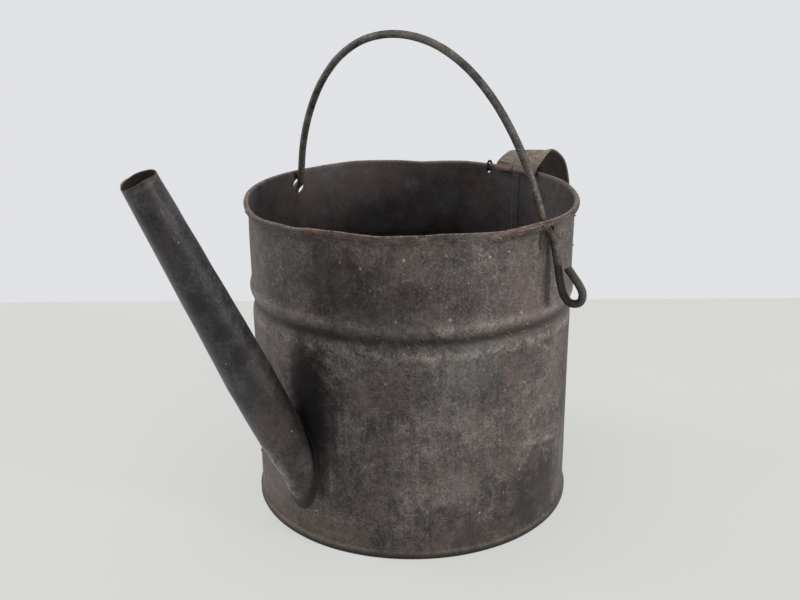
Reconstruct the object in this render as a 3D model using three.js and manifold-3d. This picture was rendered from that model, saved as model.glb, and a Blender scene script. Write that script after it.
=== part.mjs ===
// A hand-made sheet-iron watering can: a rolled drum with a wired rim, a sweated-on base,
// a tapered spout on a saddle flange, a strap handle at the back and a swinging wire bail.
// Millimetres, +Z up. The drum stands on z = 0 around the Z axis and the spout points along -X.
import * as THREE from 'three';
import { mergeVertices } from 'three/addons/utils/BufferGeometryUtils.js';
import Module from 'manifold-3d';

const wasm = await Module();
wasm.setup();

// Sheet, fits and fineness
const SHEET = 0.7;
const FIT = 0.3;
const ROUND_SIDES = 64;
const WIRE_SIDES = 8;
const FINE_WIRE_SIDES = 6;
const WELD = 1e-4;

// Drum
const DRUM_RADIUS = 99.7;
const DRUM_HEIGHT = 196.6;
const FOOT_FLARE = 0.5;
const FOOT_FLARE_HEIGHT = 14;
const BEAD_DROP = 61;
const BEAD_RIDGE = 1.4;
const BEAD_GROOVE = 1.5;
const BEAD_PITCH = 9;
const BEAD_WIDTH = 4.2;
const SEAM_TURN_DEG = -3;
const SEAM_WIDTH = 6;
const SEAM_PROUD = 1;
const RIM_WIRE_DIAMETER = 1.6;
const CURL_END_DEG = -116;

// Base
const BASE_EDGE = 5;

// Spout, measured along its centre line from the drum's face
const SPOUT_ROOT_HEIGHT = 49.6;
const SPOUT_SLOPE_DEG = 64.2;
const SPOUT_LENGTH = 203;
const SPOUT_ROOT_RADIUS = 15.8;
const SPOUT_TIP_RADIUS = 9.5;
const SPOUT_ROOT_SQUASH = 0.82;
const SPOUT_SQUASH_LENGTH = 70;
const SPOUT_FLANGE = 5;
const SPOUT_LAP_WIDTH = 6;
const SPOUT_LAP_DEG = 110;
const SPOUT_SIDES = 36;

// Strap handle, measured outwards from the drum's face and up or down from the rim
const STRAP_TURN_DEG = -3.95;
const STRAP_WIDTH = 35.5;
const STRAP_SHEET = 0.9;
const STRAP_HEM = 4.5;
const STRAP_TUCK = 2.6;
const STRAP_CREST = 10;
const STRAP_CREST_OUT = 17.5;
const STRAP_SHOULDER = 31.5;
const STRAP_REACH = 39.5;
const STRAP_BELLY = 34;
const STRAP_RETURN = 30;
const STRAP_HEEL = 5.7;
const STRAP_DROP = 113;
const STRAP_FOOT = 15;
const STRAP_TWIST_DEG = 7;
const STRAP_LEAN = 2.2;
const STRAP_TAPER = 5.5;
const STRAP_LIFT = 1;
const STRAP_LIFT_WIDTH = 8;
const STRAP_LIFT_DEPTH = 20;

// Bail, measured from its pivots in the wall
const BAIL_WIRE = 4.6;
const BAIL_TURN_DEG = 3.85;
const BAIL_LEAN_DEG = 5;
const BAIL_RISE = 104;
const BAIL_SHOULDER = 56;
const BAIL_LEG = 52;
const BAIL_SPLAY = 13;
const BAIL_SWAY = 2.2;
const PIVOT_DROP = 10.1;
const PIVOT_PLAY = 2.7;
const HOOK_DEPTH = 40;
const HOOK_OUT = 22;
const HOOK_BEND = 6.3;
const HOOK_TAIL = 16.7;
const HOOK_TAIL_IN = 8.4;

// Tie wire twisted round the rim beside the strap
const TIE_WIRE = 1.5;
const TIE_TURN_DEG = 10.6;
const TIE_STUB = 2;
const TIE_SPREAD_DEG = 22;
const TIE_PLAY = 0.9;

// Dents in the wall: bearing in degrees, height, half-width along the wall, half-height, depth
const DENTS = [
  { bearing: 174, height: DRUM_HEIGHT, across: 34, along: 26, depth: 1.6 },
  { bearing: -176, height: DRUM_HEIGHT - 30, across: 18, along: 16, depth: 1.3 },
  { bearing: -150, height: 72, across: 20, along: 30, depth: 1.4 },
  { bearing: -104, height: 92, across: 26, along: 30, depth: 1 },
];

const rad = THREE.MathUtils.degToRad;
const clamp01 = (value) => THREE.MathUtils.clamp(value, 0, 1);
const bump = (offset, width) => Math.exp(-((offset / width) ** 2));

const wallBottom = SHEET + FIT;
const curlInner = RIM_WIRE_DIAMETER / 2 + FIT;
const curlOuter = curlInner + SHEET;
const curlCentre = new THREE.Vector2(DRUM_RADIUS + curlInner, DRUM_HEIGHT - curlOuter);
const beadHeight = DRUM_HEIGHT - BEAD_DROP;
const pivotHeight = DRUM_HEIGHT - PIVOT_DROP;
const wallMiddle = DRUM_RADIUS - SHEET / 2;
const pivotHoleRadius = BAIL_WIRE / 2 + PIVOT_PLAY;
const tieHoleRadius = TIE_WIRE / 2 + TIE_PLAY;
const tieLoopRadius = curlOuter + FIT + TIE_WIRE / 2;

// Closed solids for cutting and joining

function toSolid(geometry) {
  const bare = geometry.clone();
  bare.deleteAttribute('normal');
  bare.deleteAttribute('uv');
  const welded = mergeVertices(bare, WELD);
  const index = welded.index.array;
  const triangles = [];
  for (let i = 0; i < index.length; i += 3) {
    const [a, b, c] = index.subarray(i, i + 3);
    if (a !== b && b !== c && c !== a) {
      triangles.push(a, b, c);
    }
  }
  return new wasm.Manifold(new wasm.Mesh({
    numProp: 3,
    vertProperties: Float32Array.from(welded.attributes.position.array),
    triVerts: Uint32Array.from(triangles),
  }));
}

function toGeometry(solid) {
  const mesh = solid.getMesh();
  const geometry = new THREE.BufferGeometry();
  geometry.setAttribute('position', new THREE.BufferAttribute(mesh.vertProperties, 3));
  geometry.setIndex(new THREE.BufferAttribute(mesh.triVerts, 1));
  geometry.computeVertexNormals();
  return geometry;
}

function moveVertices(geometry, move) {
  const position = geometry.attributes.position;
  const point = new THREE.Vector3();
  for (let i = 0; i < position.count; i += 1) {
    point.fromBufferAttribute(position, i);
    move(point);
    position.setXYZ(i, point.x, point.y, point.z);
  }
  return geometry;
}

// Evenly spaced values from one end to the other, both ends included.
function evenly(from, to, count) {
  return Array.from({ length: count + 1 }, (_, i) => THREE.MathUtils.lerp(from, to, i / count));
}

function arc(centre, radius, fromDeg, toDeg, count) {
  return evenly(rad(fromDeg), rad(toDeg), count).map((angle) => (
    new THREE.Vector2(Math.cos(angle), Math.sin(angle)).multiplyScalar(radius).add(centre)
  ));
}

function roundSection(diameter, sides) {
  return arc(new THREE.Vector2(), diameter / 2, 0, 360, sides).slice(0, -1);
}

// Turns a closed (radius, height) outline about the Z axis.
function revolve(outline) {
  const closed = [...outline, outline[0]];
  return new THREE.LatheGeometry(closed, ROUND_SIDES).rotateX(Math.PI / 2);
}

function upright(radius, bottom, top, sides) {
  const geometry = new THREE.CylinderGeometry(radius, radius, top - bottom, sides);
  return geometry.rotateX(Math.PI / 2).translate(0, 0, (top + bottom) / 2);
}

function block(low, high) {
  const size = new THREE.Vector3().subVectors(high, low);
  const centre = new THREE.Vector3().addVectors(low, high).multiplyScalar(0.5);
  return new THREE.BoxGeometry(size.x, size.y, size.z).translate(centre.x, centre.y, centre.z);
}

// A hand-bent line: its steps are shared out between its points, so tight bends get more of them.
class BentLine extends THREE.CatmullRomCurve3 {
  getPointAt(u, target) {
    return this.getPoint(u, target);
  }

  getTangentAt(u, target) {
    return this.getTangent(u, target);
  }
}

function sweep(corners, points, stepsPerPoint) {
  const steps = (points.length - 1) * stepsPerPoint;
  const extrudePath = new BentLine(points);
  return new THREE.ExtrudeGeometry(new THREE.Shape(corners), { steps, extrudePath });
}

function part(name, geometry, color, roughness, metalness) {
  const material = new THREE.MeshStandardMaterial({ color, roughness, metalness });
  const mesh = new THREE.Mesh(geometry, material);
  mesh.name = name;
  return mesh;
}

// Drum wall

// How far the rolled wall stands out at a height: the ogee bead and the flared foot.
function wallSwell(height) {
  const ridge = BEAD_RIDGE * bump(height - beadHeight - BEAD_PITCH / 2, BEAD_WIDTH);
  const groove = BEAD_GROOVE * bump(height - beadHeight + BEAD_PITCH / 2, BEAD_WIDTH);
  const flare = FOOT_FLARE * clamp01(1 - (height - wallBottom) / FOOT_FLARE_HEIGHT) ** 2;
  return ridge - groove + flare;
}

// Heights of the wall's rows, closest together where the bead bends it.
function wallHeights() {
  const flareTop = wallBottom + FOOT_FLARE_HEIGHT;
  const beadReach = BEAD_PITCH / 2 + 1.2 * BEAD_WIDTH;
  const stops = [wallBottom, flareTop, beadHeight - beadReach, beadHeight + beadReach, curlCentre.y];
  const rows = [2, 4, 10, 2];
  const heights = rows.flatMap((count, i) => evenly(stops[i], stops[i + 1], count).slice(0, -1));
  return [...heights, curlCentre.y];
}

function wallLine(radius) {
  return wallHeights().map((height) => new THREE.Vector2(radius + wallSwell(height), height));
}

function curlLine(radius, steps) {
  return arc(curlCentre, radius, 180, CURL_END_DEG, steps);
}

function pressDents(geometry) {
  return moveVertices(geometry, (point) => {
    const bearing = Math.atan2(point.y, point.x);
    let depth = 0;
    for (const dent of DENTS) {
      const turn = bearing - rad(dent.bearing);
      const across = DRUM_RADIUS * Math.atan2(Math.sin(turn), Math.cos(turn));
      depth += dent.depth * bump(across, dent.across) * bump(point.z - dent.height, dent.along);
    }
    const radius = Math.hypot(point.x, point.y);
    const scale = 1 - depth / radius;
    point.x *= scale;
    point.y *= scale;
  });
}

// A round hole through the wall only, seen along a bearing.
function wallHole(radius, height, bearingDeg, sides) {
  const reach = radius + 2 * SHEET;
  const cutter = new THREE.CylinderGeometry(radius, radius, reach, sides).rotateZ(Math.PI / 2);
  cutter.translate(DRUM_RADIUS + FIT - reach / 2, 0, height).rotateZ(rad(bearingDeg));
  return toSolid(cutter);
}

// The doubled strip inside the drum where the sheet's two edges lock together.
function lockSeam() {
  const bite = SHEET / 2;
  const face = wallLine(DRUM_RADIUS - SHEET + bite);
  const back = wallLine(DRUM_RADIUS - SHEET - SEAM_PROUD).reverse();
  const lining = toSolid(pressDents(revolve([...face, ...back])));
  const low = new THREE.Vector3(DRUM_RADIUS / 2, -SEAM_WIDTH / 2, 0);
  const high = new THREE.Vector3(DRUM_RADIUS * 2, SEAM_WIDTH / 2, DRUM_HEIGHT);
  return lining.intersect(toSolid(block(low, high).rotateZ(rad(SEAM_TURN_DEG))));
}

function drumWall() {
  const outline = [
    ...wallLine(DRUM_RADIUS).slice(0, -1),
    ...curlLine(curlInner, 7),
    ...curlLine(curlOuter, 9).reverse(),
    ...wallLine(DRUM_RADIUS - SHEET).slice(0, -1).reverse(),
  ];
  const holes = [
    spoutBore(),
    wallHole(pivotHoleRadius, pivotHeight, BAIL_TURN_DEG - 90, 20),
    wallHole(pivotHoleRadius, pivotHeight, BAIL_TURN_DEG + 90, 20),
    wallHole(tieHoleRadius, tieHoleHeight(), TIE_TURN_DEG, 10),
  ];
  const wall = toSolid(pressDents(revolve(outline))).add(lockSeam());
  return toGeometry(holes.reduce((left, hole) => left.subtract(hole), wall));
}

function rimWire() {
  const ring = roundSection(RIM_WIRE_DIAMETER, FINE_WIRE_SIDES);
  return pressDents(revolve(ring.map((corner) => corner.add(curlCentre))));
}

// Base: a flat disc whose edge is turned up round the foot of the drum

function basePlate() {
  const inner = DRUM_RADIUS + FOOT_FLARE + FIT;
  const outer = inner + SHEET;
  const corners = [[0, 0], [outer, 0], [outer, BASE_EDGE], [inner, BASE_EDGE], [inner, SHEET], [0, SHEET]];
  return new THREE.LatheGeometry(corners.map(([r, z]) => new THREE.Vector2(r, z)), ROUND_SIDES)
    .rotateX(Math.PI / 2);
}

// Spout: a cone rolled from sheet with a lapped seam, flattened at its foot

const spoutPlace = new THREE.Matrix4()
  .makeTranslation(-DRUM_RADIUS, 0, SPOUT_ROOT_HEIGHT)
  .multiply(new THREE.Matrix4().makeRotationY(rad(SPOUT_SLOPE_DEG) - Math.PI / 2));
const spoutInside = -(SPOUT_ROOT_RADIUS + 2 * SPOUT_FLANGE) * Math.tan(rad(SPOUT_SLOPE_DEG));

// A stretch of the spout's cone as a solid, grown sideways and in the plane of the slope.
function spoutCone(from, to, growAcross, growAlong) {
  const rows = 8;
  const cone = new THREE.CylinderGeometry(1, 1, 1, SPOUT_SIDES, rows).rotateX(Math.PI / 2);
  moveVertices(cone, (point) => {
    const along = from + (to - from) * (point.z + 0.5);
    const radius = THREE.MathUtils.lerp(SPOUT_ROOT_RADIUS, SPOUT_TIP_RADIUS, along / SPOUT_LENGTH);
    const squash = (1 - SPOUT_ROOT_SQUASH) * clamp01(1 - along / SPOUT_SQUASH_LENGTH);
    point.x *= radius * (1 - squash) + growAlong;
    point.y *= radius + growAcross;
    point.z = along;
  });
  return cone;
}

function placedCone(from, to, growAcross, growAlong) {
  return toSolid(spoutCone(from, to, growAcross, growAlong).applyMatrix4(spoutPlace));
}

function spoutBore() {
  return placedCone(spoutInside, SPOUT_LENGTH / 2, -SHEET, -SHEET);
}

function drumCore(radius) {
  return toSolid(upright(radius, -DRUM_HEIGHT, 2 * DRUM_HEIGHT, ROUND_SIDES));
}

function spoutLap() {
  const low = new THREE.Vector3(0, -SPOUT_LAP_WIDTH / 2, spoutInside);
  const high = new THREE.Vector3(2 * SPOUT_ROOT_RADIUS, SPOUT_LAP_WIDTH / 2, SPOUT_LENGTH);
  const strip = block(low, high).rotateZ(rad(SPOUT_LAP_DEG)).applyMatrix4(spoutPlace);
  return placedCone(spoutInside, SPOUT_LENGTH, SHEET, SHEET).intersect(toSolid(strip));
}

// The turned-out edge at the spout's foot, dished to the drum and equally wide all round.
function spoutFlange() {
  const along = SPOUT_FLANGE * Math.cos(rad(SPOUT_SLOPE_DEG));
  const skin = drumCore(DRUM_RADIUS + FIT + SHEET).subtract(drumCore(DRUM_RADIUS + FIT));
  return placedCone(spoutInside, SPOUT_LENGTH / 2, SPOUT_FLANGE, along).intersect(skin);
}

function spout() {
  const outside = placedCone(spoutInside, SPOUT_LENGTH, 0, 0).add(spoutLap());
  const tube = outside.subtract(drumCore(DRUM_RADIUS + FIT)).add(spoutFlange());
  const pastMouth = SPOUT_LENGTH + SPOUT_TIP_RADIUS;
  return toGeometry(tube.subtract(placedCone(spoutInside, pastMouth, -SHEET, -SHEET)));
}

// Strap handle: a hemmed strip hooked over the rim, looped out and soldered down at its foot

function strapSection() {
  const edge = STRAP_WIDTH / 2;
  const hem = edge - STRAP_HEM;
  const folded = 2 * STRAP_SHEET;
  const corners = [
    [-edge, 0], [edge, 0], [edge, folded], [hem, folded],
    [hem, STRAP_SHEET], [-hem, STRAP_SHEET], [-hem, folded], [-edge, folded],
  ];
  return corners.map(([x, y]) => new THREE.Vector2(x, y));
}

// The strap's outer face in (distance out from the drum, height above the rim).
function strapLine() {
  const thick = 2 * STRAP_SHEET + FIT;
  const inside = -SHEET - FIT - Math.max(thick, SEAM_PROUD + STRAP_SHEET + FIT);
  const footTop = STRAP_FOOT - STRAP_DROP;
  const onFoot = thick + FIT;
  const line = [
    [inside, -STRAP_TUCK],
    [inside, -STRAP_TUCK / 3],
    [-curlInner, thick + 2 * FIT],
    [STRAP_CREST_OUT / 2, STRAP_CREST * 0.7],
    [STRAP_CREST_OUT, STRAP_CREST],
    [STRAP_SHOULDER, 0],
    [STRAP_REACH, -STRAP_BELLY],
    [STRAP_RETURN, (footTop - STRAP_BELLY) / 2],
    [onFoot + STRAP_HEEL, footTop + STRAP_FOOT / 2],
    [onFoot + STRAP_SHEET, footTop],
    [onFoot, footTop - STRAP_FOOT / 3],
    [onFoot, -STRAP_DROP],
  ];
  return line.map(([out, up]) => new THREE.Vector3(DRUM_RADIUS + out, 0, DRUM_HEIGHT + up));
}

// Dishes the strap to the drum's curve, leans and tips the free loop to one side, narrows its grip
// and lifts one edge, which has sprung up.
function strapHandle() {
  const { smoothstep } = THREE.MathUtils;
  const strip = sweep(strapSection(), strapLine(), 3);
  return moveVertices(strip, (point) => {
    const out = point.x - DRUM_RADIUS;
    const across = point.y;
    const fromEdge = across + STRAP_WIDTH / 2;
    const free = smoothstep(out, 0, STRAP_CREST_OUT);
    const grip = smoothstep(out, STRAP_CREST_OUT, STRAP_SHOULDER);
    const sprung = 1 - smoothstep(fromEdge, 0, STRAP_LIFT_WIDTH);
    const upper = smoothstep(point.z, DRUM_HEIGHT - STRAP_LIFT_DEPTH, DRUM_HEIGHT);
    point.x -= DRUM_RADIUS - Math.sqrt(DRUM_RADIUS ** 2 - across ** 2);
    point.y += STRAP_LEAN * free - STRAP_TAPER * grip * (fromEdge / STRAP_WIDTH);
    point.z += STRAP_LIFT * sprung * upper - Math.tan(rad(STRAP_TWIST_DEG)) * free * across;
  });
}

// Bail: one bent wire, standing in its pivot holes with a hook outside the wall at each end

// Half of the wire's centre line, from the tail of a hook to the grip, in (reach, height).
// The arch is bent a little out of true, so one half sways out and the other in.
function bailHalf(sway) {
  const neck = pivotHoleRadius / 2;
  const bend = new THREE.Vector2(wallMiddle + HOOK_OUT - HOOK_BEND, HOOK_BEND - HOOK_DEPTH);
  const arch = new THREE.CubicBezierCurve(
    new THREE.Vector2(wallMiddle - neck * 1.6, neck * 3),
    new THREE.Vector2(wallMiddle - BAIL_SPLAY + sway, BAIL_LEG),
    new THREE.Vector2(BAIL_SHOULDER + sway, BAIL_RISE),
    new THREE.Vector2(sway, BAIL_RISE),
  );
  return [
    new THREE.Vector2(wallMiddle + HOOK_OUT - HOOK_TAIL_IN, -HOOK_TAIL),
    ...arc(bend, HOOK_BEND, 15, -165, 3),
    new THREE.Vector2(wallMiddle + neck, -neck),
    new THREE.Vector2(wallMiddle - neck, neck),
    ...arch.getPoints(6),
  ];
}

function bailHandle() {
  const front = bailHalf(-BAIL_SWAY).map((point) => new THREE.Vector3(0, -point.x, point.y));
  const rear = bailHalf(BAIL_SWAY).map((point) => new THREE.Vector3(0, point.x, point.y));
  rear.reverse().shift();
  return sweep(roundSection(BAIL_WIRE, WIRE_SIDES), [...front, ...rear], 3);
}

// Tie wire: a loop through a small hole and over the rim, its two ends left standing

// Height at which the loop crosses the middle of the wall.
function tieHoleHeight() {
  const inward = curlCentre.x - wallMiddle;
  return curlCentre.y - Math.sqrt(tieLoopRadius ** 2 - inward ** 2);
}

function tieWire() {
  const loop = arc(curlCentre, tieLoopRadius, 90 - TIE_SPREAD_DEG, TIE_SPREAD_DEG - 270, 10);
  const lift = new THREE.Vector2(0, TIE_STUB);
  const ends = [loop[0], loop[loop.length - 1]].map((point) => point.clone().add(lift));
  const line = [ends[0], ...loop, ends[1]];
  const path = line.map((point) => new THREE.Vector3(point.x, 0, point.y));
  return sweep(roundSection(TIE_WIRE, FINE_WIRE_SIDES), path, 2);
}

// The assembled can

const can = new THREE.Group();
can.add(part('drum_wall', drumWall(), 0x4b4440, 0.78, 0.35));
can.add(part('rim_wire', rimWire(), 0x4a3a32, 0.8, 0.35));
can.add(part('base_plate', basePlate(), 0x463e3a, 0.8, 0.35));
can.add(part('spout', spout(), 0x4e4743, 0.74, 0.38));

const strap = part('strap_handle', strapHandle(), 0x5c4a3f, 0.76, 0.35);
strap.rotation.z = rad(STRAP_TURN_DEG);
can.add(strap);

const bailPivot = new THREE.Group();
bailPivot.position.z = pivotHeight;
bailPivot.rotation.z = rad(BAIL_TURN_DEG);
const bail = part('bail_handle', bailHandle(), 0x54504c, 0.58, 0.6);
bail.rotation.y = -rad(BAIL_LEAN_DEG);
bailPivot.add(bail);
can.add(bailPivot);

const tie = part('tie_wire', tieWire(), 0x3c3330, 0.8, 0.4);
tie.rotation.z = rad(TIE_TURN_DEG);
can.add(tie);

export default can;
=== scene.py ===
from math import radians

import bmesh
import bpy
import numpy as np
from mathutils import Matrix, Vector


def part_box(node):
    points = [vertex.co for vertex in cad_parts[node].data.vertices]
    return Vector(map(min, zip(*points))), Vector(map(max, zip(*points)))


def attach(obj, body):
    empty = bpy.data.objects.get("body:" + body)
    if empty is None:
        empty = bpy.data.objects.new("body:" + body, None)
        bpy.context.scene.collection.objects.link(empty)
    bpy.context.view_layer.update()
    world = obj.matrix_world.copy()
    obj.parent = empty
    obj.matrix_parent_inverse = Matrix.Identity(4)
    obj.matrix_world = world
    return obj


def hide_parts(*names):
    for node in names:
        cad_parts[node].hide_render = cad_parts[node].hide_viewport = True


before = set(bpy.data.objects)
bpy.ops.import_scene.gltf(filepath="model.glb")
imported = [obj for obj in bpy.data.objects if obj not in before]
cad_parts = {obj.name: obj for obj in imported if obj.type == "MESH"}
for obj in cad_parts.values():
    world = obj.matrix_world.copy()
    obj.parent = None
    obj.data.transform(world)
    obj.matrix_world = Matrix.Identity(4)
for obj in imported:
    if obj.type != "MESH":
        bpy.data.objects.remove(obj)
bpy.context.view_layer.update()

# Drum wall: one sheet of iron rolled round and closed by a lock seam inside, at the back. An ogee
# bead is rolled in a third of the way down and the rim curls over a wire. Years of use have dented
# it, torn the front bail hole and browned it with rust, soot and chalky scuffs.
SHEET = 0.0007
DRUM_RADIUS = 0.0997
RIM_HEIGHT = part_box("drum_wall")[1].z
WALL_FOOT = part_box("drum_wall")[0].z
FOOT_FLARE = 0.0005
FOOT_FLARE_HEIGHT = 0.014
BEAD_HEIGHT = RIM_HEIGHT - 0.061
BEAD_RIDGE = 0.0014
BEAD_GROOVE = 0.0016
BEAD_HALF_PITCH = 0.0045
BEAD_WIDTH = 0.0042
BEAD_REACH = 0.014
CURL_INNER = 0.0011
CURL_OUTER = CURL_INNER + SHEET
LIP_TURN_DEG = -40
LIP_DEPTH = 0.0078
SEAM_BEARING_DEG = -3
SEAM_WIDTH = 0.006
SEAM_PROUD = 0.001
SEAM_EASE = 0.0004
WALL_BEATEN = 0.0004
WALL_BEATEN_PITCH = 0.035
PIVOT_HEIGHT = RIM_HEIGHT - 0.0101
BAIL_TURN_DEG = 3.85
FRONT_HOLE_DEG = BAIL_TURN_DEG - 90
REAR_HOLE_DEG = BAIL_TURN_DEG + 90
TIE_BEARING_DEG = 10.6
TIE_HOLE_HEIGHT = 0.1917
TIE_HOLE_RADIUS = 0.0014
REAR_HOLE_RADIUS = 0.0048
FRONT_HOLE_RADIUS = 0.0043
PEG_INWARD = 0.006
PEG_OUTWARD = 0.004
# Rust pits eaten right through: bearing in degrees, height, radius
PITS = [(-171.6, 0.020, 0.0008), (FRONT_HOLE_DEG + 8.0, PIVOT_HEIGHT - 0.0064, 0.0009)]
# Dents: bearing in degrees, height, half-width along the wall, half-height, depth
DENTS = [
    (174, RIM_HEIGHT, 0.034, 0.026, 0.0016),
    (-176, RIM_HEIGHT - 0.030, 0.018, 0.016, 0.0013),
    (-150, 0.072, 0.020, 0.030, 0.0014),
    (-170, 0.088, 0.009, 0.036, 0.0019),
    (-104, 0.092, 0.026, 0.030, 0.0010),
    (-80, 0.066, 0.030, 0.010, 0.0010),
    (-128, 0.030, 0.030, 0.018, 0.0006),
    (60, 0.110, 0.030, 0.040, 0.0009),
    (110, 0.060, 0.024, 0.030, 0.0008),
]
# Creases: bearing and height where each starts and ends, half-width, how far it stands out
CREASES = [
    (-106, 0.065, -64, 0.0505, 0.0022, 0.0007),
    (-164.9, 0.036, -164.5, 0.056, 0.0018, 0.0007),
    (-161.8, 0.062, -160.8, 0.094, 0.0024, 0.0008),
    (-175, 0.184, -167, 0.158, 0.0026, -0.0005),
    (-134, 0.046, -120, 0.052, 0.0022, 0.0003),
]
# How the rim's line wanders: bearing in degrees and rise in millimetres
RIM_LINE = [
    (-177, -3.3), (-174, -2.8), (-170, -1.8), (-164, -1.5), (-159, -1.3), (-151, -2.0), (-146, -2.5),
    (-140, -2.0), (-132, -1.8), (-127, -1.3), (-120, -1.8), (-115, -2.3), (-107, -2.9), (-100, -2.5),
    (-93, -2.2), (-85, -2.6), (-72, -3.0), (-58, -2.7), (-46, -1.5), (-30, 0.0), (10, 0.0), (21, 0.4),
    (30, -0.3), (39, -1.3), (48, -0.2), (66, 1.0), (85, 0.2), (110, 0.0), (130, -0.6), (145, -2.5),
    (155, -4.2), (164, -4.6), (170, -3.9), (176, -3.4),
]
# How the bead's line wanders, in the same way
BEAD_LINE = [
    (-175, 2.0), (-160, 2.0), (-145, 1.6), (-125, 1.0), (-105, 1.0), (-85, 0.4), (-60, 0.0), (110, 0.0),
    (140, 1.2),
]
# How much of the curl's roundness is left where the rim has been hammered flat: bearing and share
CURL_LEFT = [(-180, 0.7), (-168, 0.5), (-105, 0.5), (-85, 0.7), (-62, 1.0), (120, 1.0), (150, 0.9)]


def hump(offset, width):
    return np.exp(-((offset / width) ** 2))


def ramp(value, low, high):
    part = np.clip((value - low) / (high - low), 0, 1)
    return part * part * (3 - 2 * part)


def turn_from(bearing, centre_deg):
    """Signed turn in radians from a bearing on the drum."""
    return (bearing - radians(centre_deg) + np.pi) % (2 * np.pi) - np.pi


def ripple(seed, count, *angles):
    """Smooth unevenness between about -1 and 1, made of a few seeded waves."""
    draw = np.random.default_rng(seed)
    total = 0
    for _ in range(count):
        rates = [int(draw.integers(1, 9)) for _ in angles]
        phase = draw.uniform(0, 2 * np.pi)
        total = total + np.sin(sum(rate * angle for rate, angle in zip(rates, angles)) + phase)
    return total / count


def crease_out(bearing, height):
    """How far the creases stand out from the wall."""
    total = 0
    for start_deg, start, end_deg, end, half_width, rise in CREASES:
        run = DRUM_RADIUS * radians(end_deg - start_deg)
        climb = end - start
        side = DRUM_RADIUS * turn_from(bearing, start_deg)
        part = np.clip((side * run + (height - start) * climb) / (run**2 + climb**2), 0, 1)
        gap = np.hypot(side - part * run, height - start - part * climb)
        total = total + rise * hump(gap, half_width)
    return total


def wall_out(bearing, height):
    """How far the wall's true surface stands out from a plain cylinder."""
    above_bead = height - bead_line(bearing)
    ridge = BEAD_RIDGE * hump(above_bead - BEAD_HALF_PITCH, BEAD_WIDTH)
    groove = BEAD_GROOVE * hump(above_bead + BEAD_HALF_PITCH, BEAD_WIDTH)
    flare = FOOT_FLARE * np.clip(1 - (height - WALL_FOOT) / FOOT_FLARE_HEIGHT, 0, 1) ** 2
    total = ridge - groove + flare + crease_out(bearing, height)
    for centre, level, across, along, depth in DENTS:
        side = DRUM_RADIUS * turn_from(bearing, centre)
        total = total - depth * hump(side, across) * hump(height - level, along)
    beaten = WALL_BEATEN * ripple(3, 9, bearing, height / WALL_BEATEN_PITCH)
    return total + beaten * ramp(height, WALL_FOOT, FOOT_FLARE_HEIGHT)


def round_drum(bearing, knots):
    """A value at a bearing, between those given at a few bearings in degrees."""
    turns, values = np.array(knots).T
    return np.interp(np.degrees(bearing), turns, values, period=360)


def rim_line(bearing):
    """How far the rim is bent up or down at a bearing."""
    return round_drum(bearing, RIM_LINE) / 1000


def bead_line(bearing):
    return BEAD_HEIGHT + round_drum(bearing, BEAD_LINE) / 1000


def lip_out(below_rim):
    """How far the rust under the curl stands out, at a depth below the rim's top."""
    reach = CURL_INNER + CURL_OUTER * np.cos(radians(LIP_TURN_DEG))
    start = CURL_OUTER * (1 - np.sin(radians(LIP_TURN_DEG)))
    return reach * ramp(-below_rim, -LIP_DEPTH, -start)


def rim_rise(bearing, height):
    return rim_line(bearing) * ramp(height, BEAD_HEIGHT + 2 * BEAD_WIDTH, RIM_HEIGHT - 2 * CURL_OUTER)


def on_drum(bearing, radius, height):
    out = radius + wall_out(bearing, height)
    lift = height + rim_rise(bearing, height)
    return np.stack([out * np.cos(bearing), out * np.sin(bearing), lift + 0 * out], axis=-1)


def placed(name, data):
    """A new object in the scene."""
    piece = bpy.data.objects.new(name, data)
    bpy.context.scene.collection.objects.link(piece)
    return piece


def skin(name, rings, lower, upper, ends):
    """A piece with faces from each lower ring to its upper one, all turned to point out of it."""
    quads = np.stack([lower, np.roll(lower, -1, axis=1), np.roll(upper, -1, axis=1), upper], axis=-1)
    mesh = bpy.data.meshes.new(name)
    mesh.from_pydata(rings.reshape(-1, 3).tolist(), [], quads.reshape(-1, 4).tolist() + ends)
    work = bmesh.new()
    work.from_mesh(mesh)
    bmesh.ops.recalc_face_normals(work, faces=work.faces)
    work.to_mesh(mesh)
    work.free()
    return placed(name, mesh)


def shell(name, rings):
    """A closed skin over rings of points that follow one another round a section."""
    rings = np.asarray(rings)
    index = np.arange(rings[..., 0].size).reshape(rings.shape[:2])
    return skin(name, rings, index, np.roll(index, -1, axis=0), [])


def plug(name, rings):
    """A solid over rings of points, closed by a flat face at each end."""
    rings = np.asarray(rings)
    index = np.arange(rings[..., 0].size).reshape(rings.shape[:2])
    return skin(name, rings, index[:-1], index[1:], [index[0].tolist(), index[-1].tolist()])


def settle(piece):
    """Turns what the modifiers make into the piece's own plain mesh."""
    graph = bpy.context.evaluated_depsgraph_get()
    solid = bpy.data.meshes.new_from_object(piece.evaluated_get(graph))
    piece.modifiers.clear()
    piece.data = solid
    return piece


def cut(piece, cutters):
    """Takes the cutters' shapes out of the piece, and the cutters out of the scene."""
    for cutter in cutters:
        trim = piece.modifiers.new(cutter.name, "BOOLEAN")
        trim.operation = "DIFFERENCE"
        trim.solver = "EXACT"
        trim.object = cutter
    settle(piece)
    for cutter in cutters:
        bpy.data.objects.remove(cutter)
    return piece


def smooth(piece, sharp_deg):
    """Shades the piece as rounded, but for edges that turn by more than an angle."""
    piece.data.shade_smooth()
    piece.data.set_sharp_from_angle(angle=radians(sharp_deg))
    return piece


def mark(piece, name, values):
    """Keeps a number at each point of the piece for its finish to read."""
    layer = piece.data.attributes.new(name, "FLOAT", "POINT")
    layer.data.foreach_set("value", np.asarray(values, dtype=np.float32))


def points_of(piece):
    flat = np.empty(len(piece.data.vertices) * 3, dtype=np.float32)
    piece.data.vertices.foreach_get("co", flat)
    return flat.reshape(-1, 3).astype(float)


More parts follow.
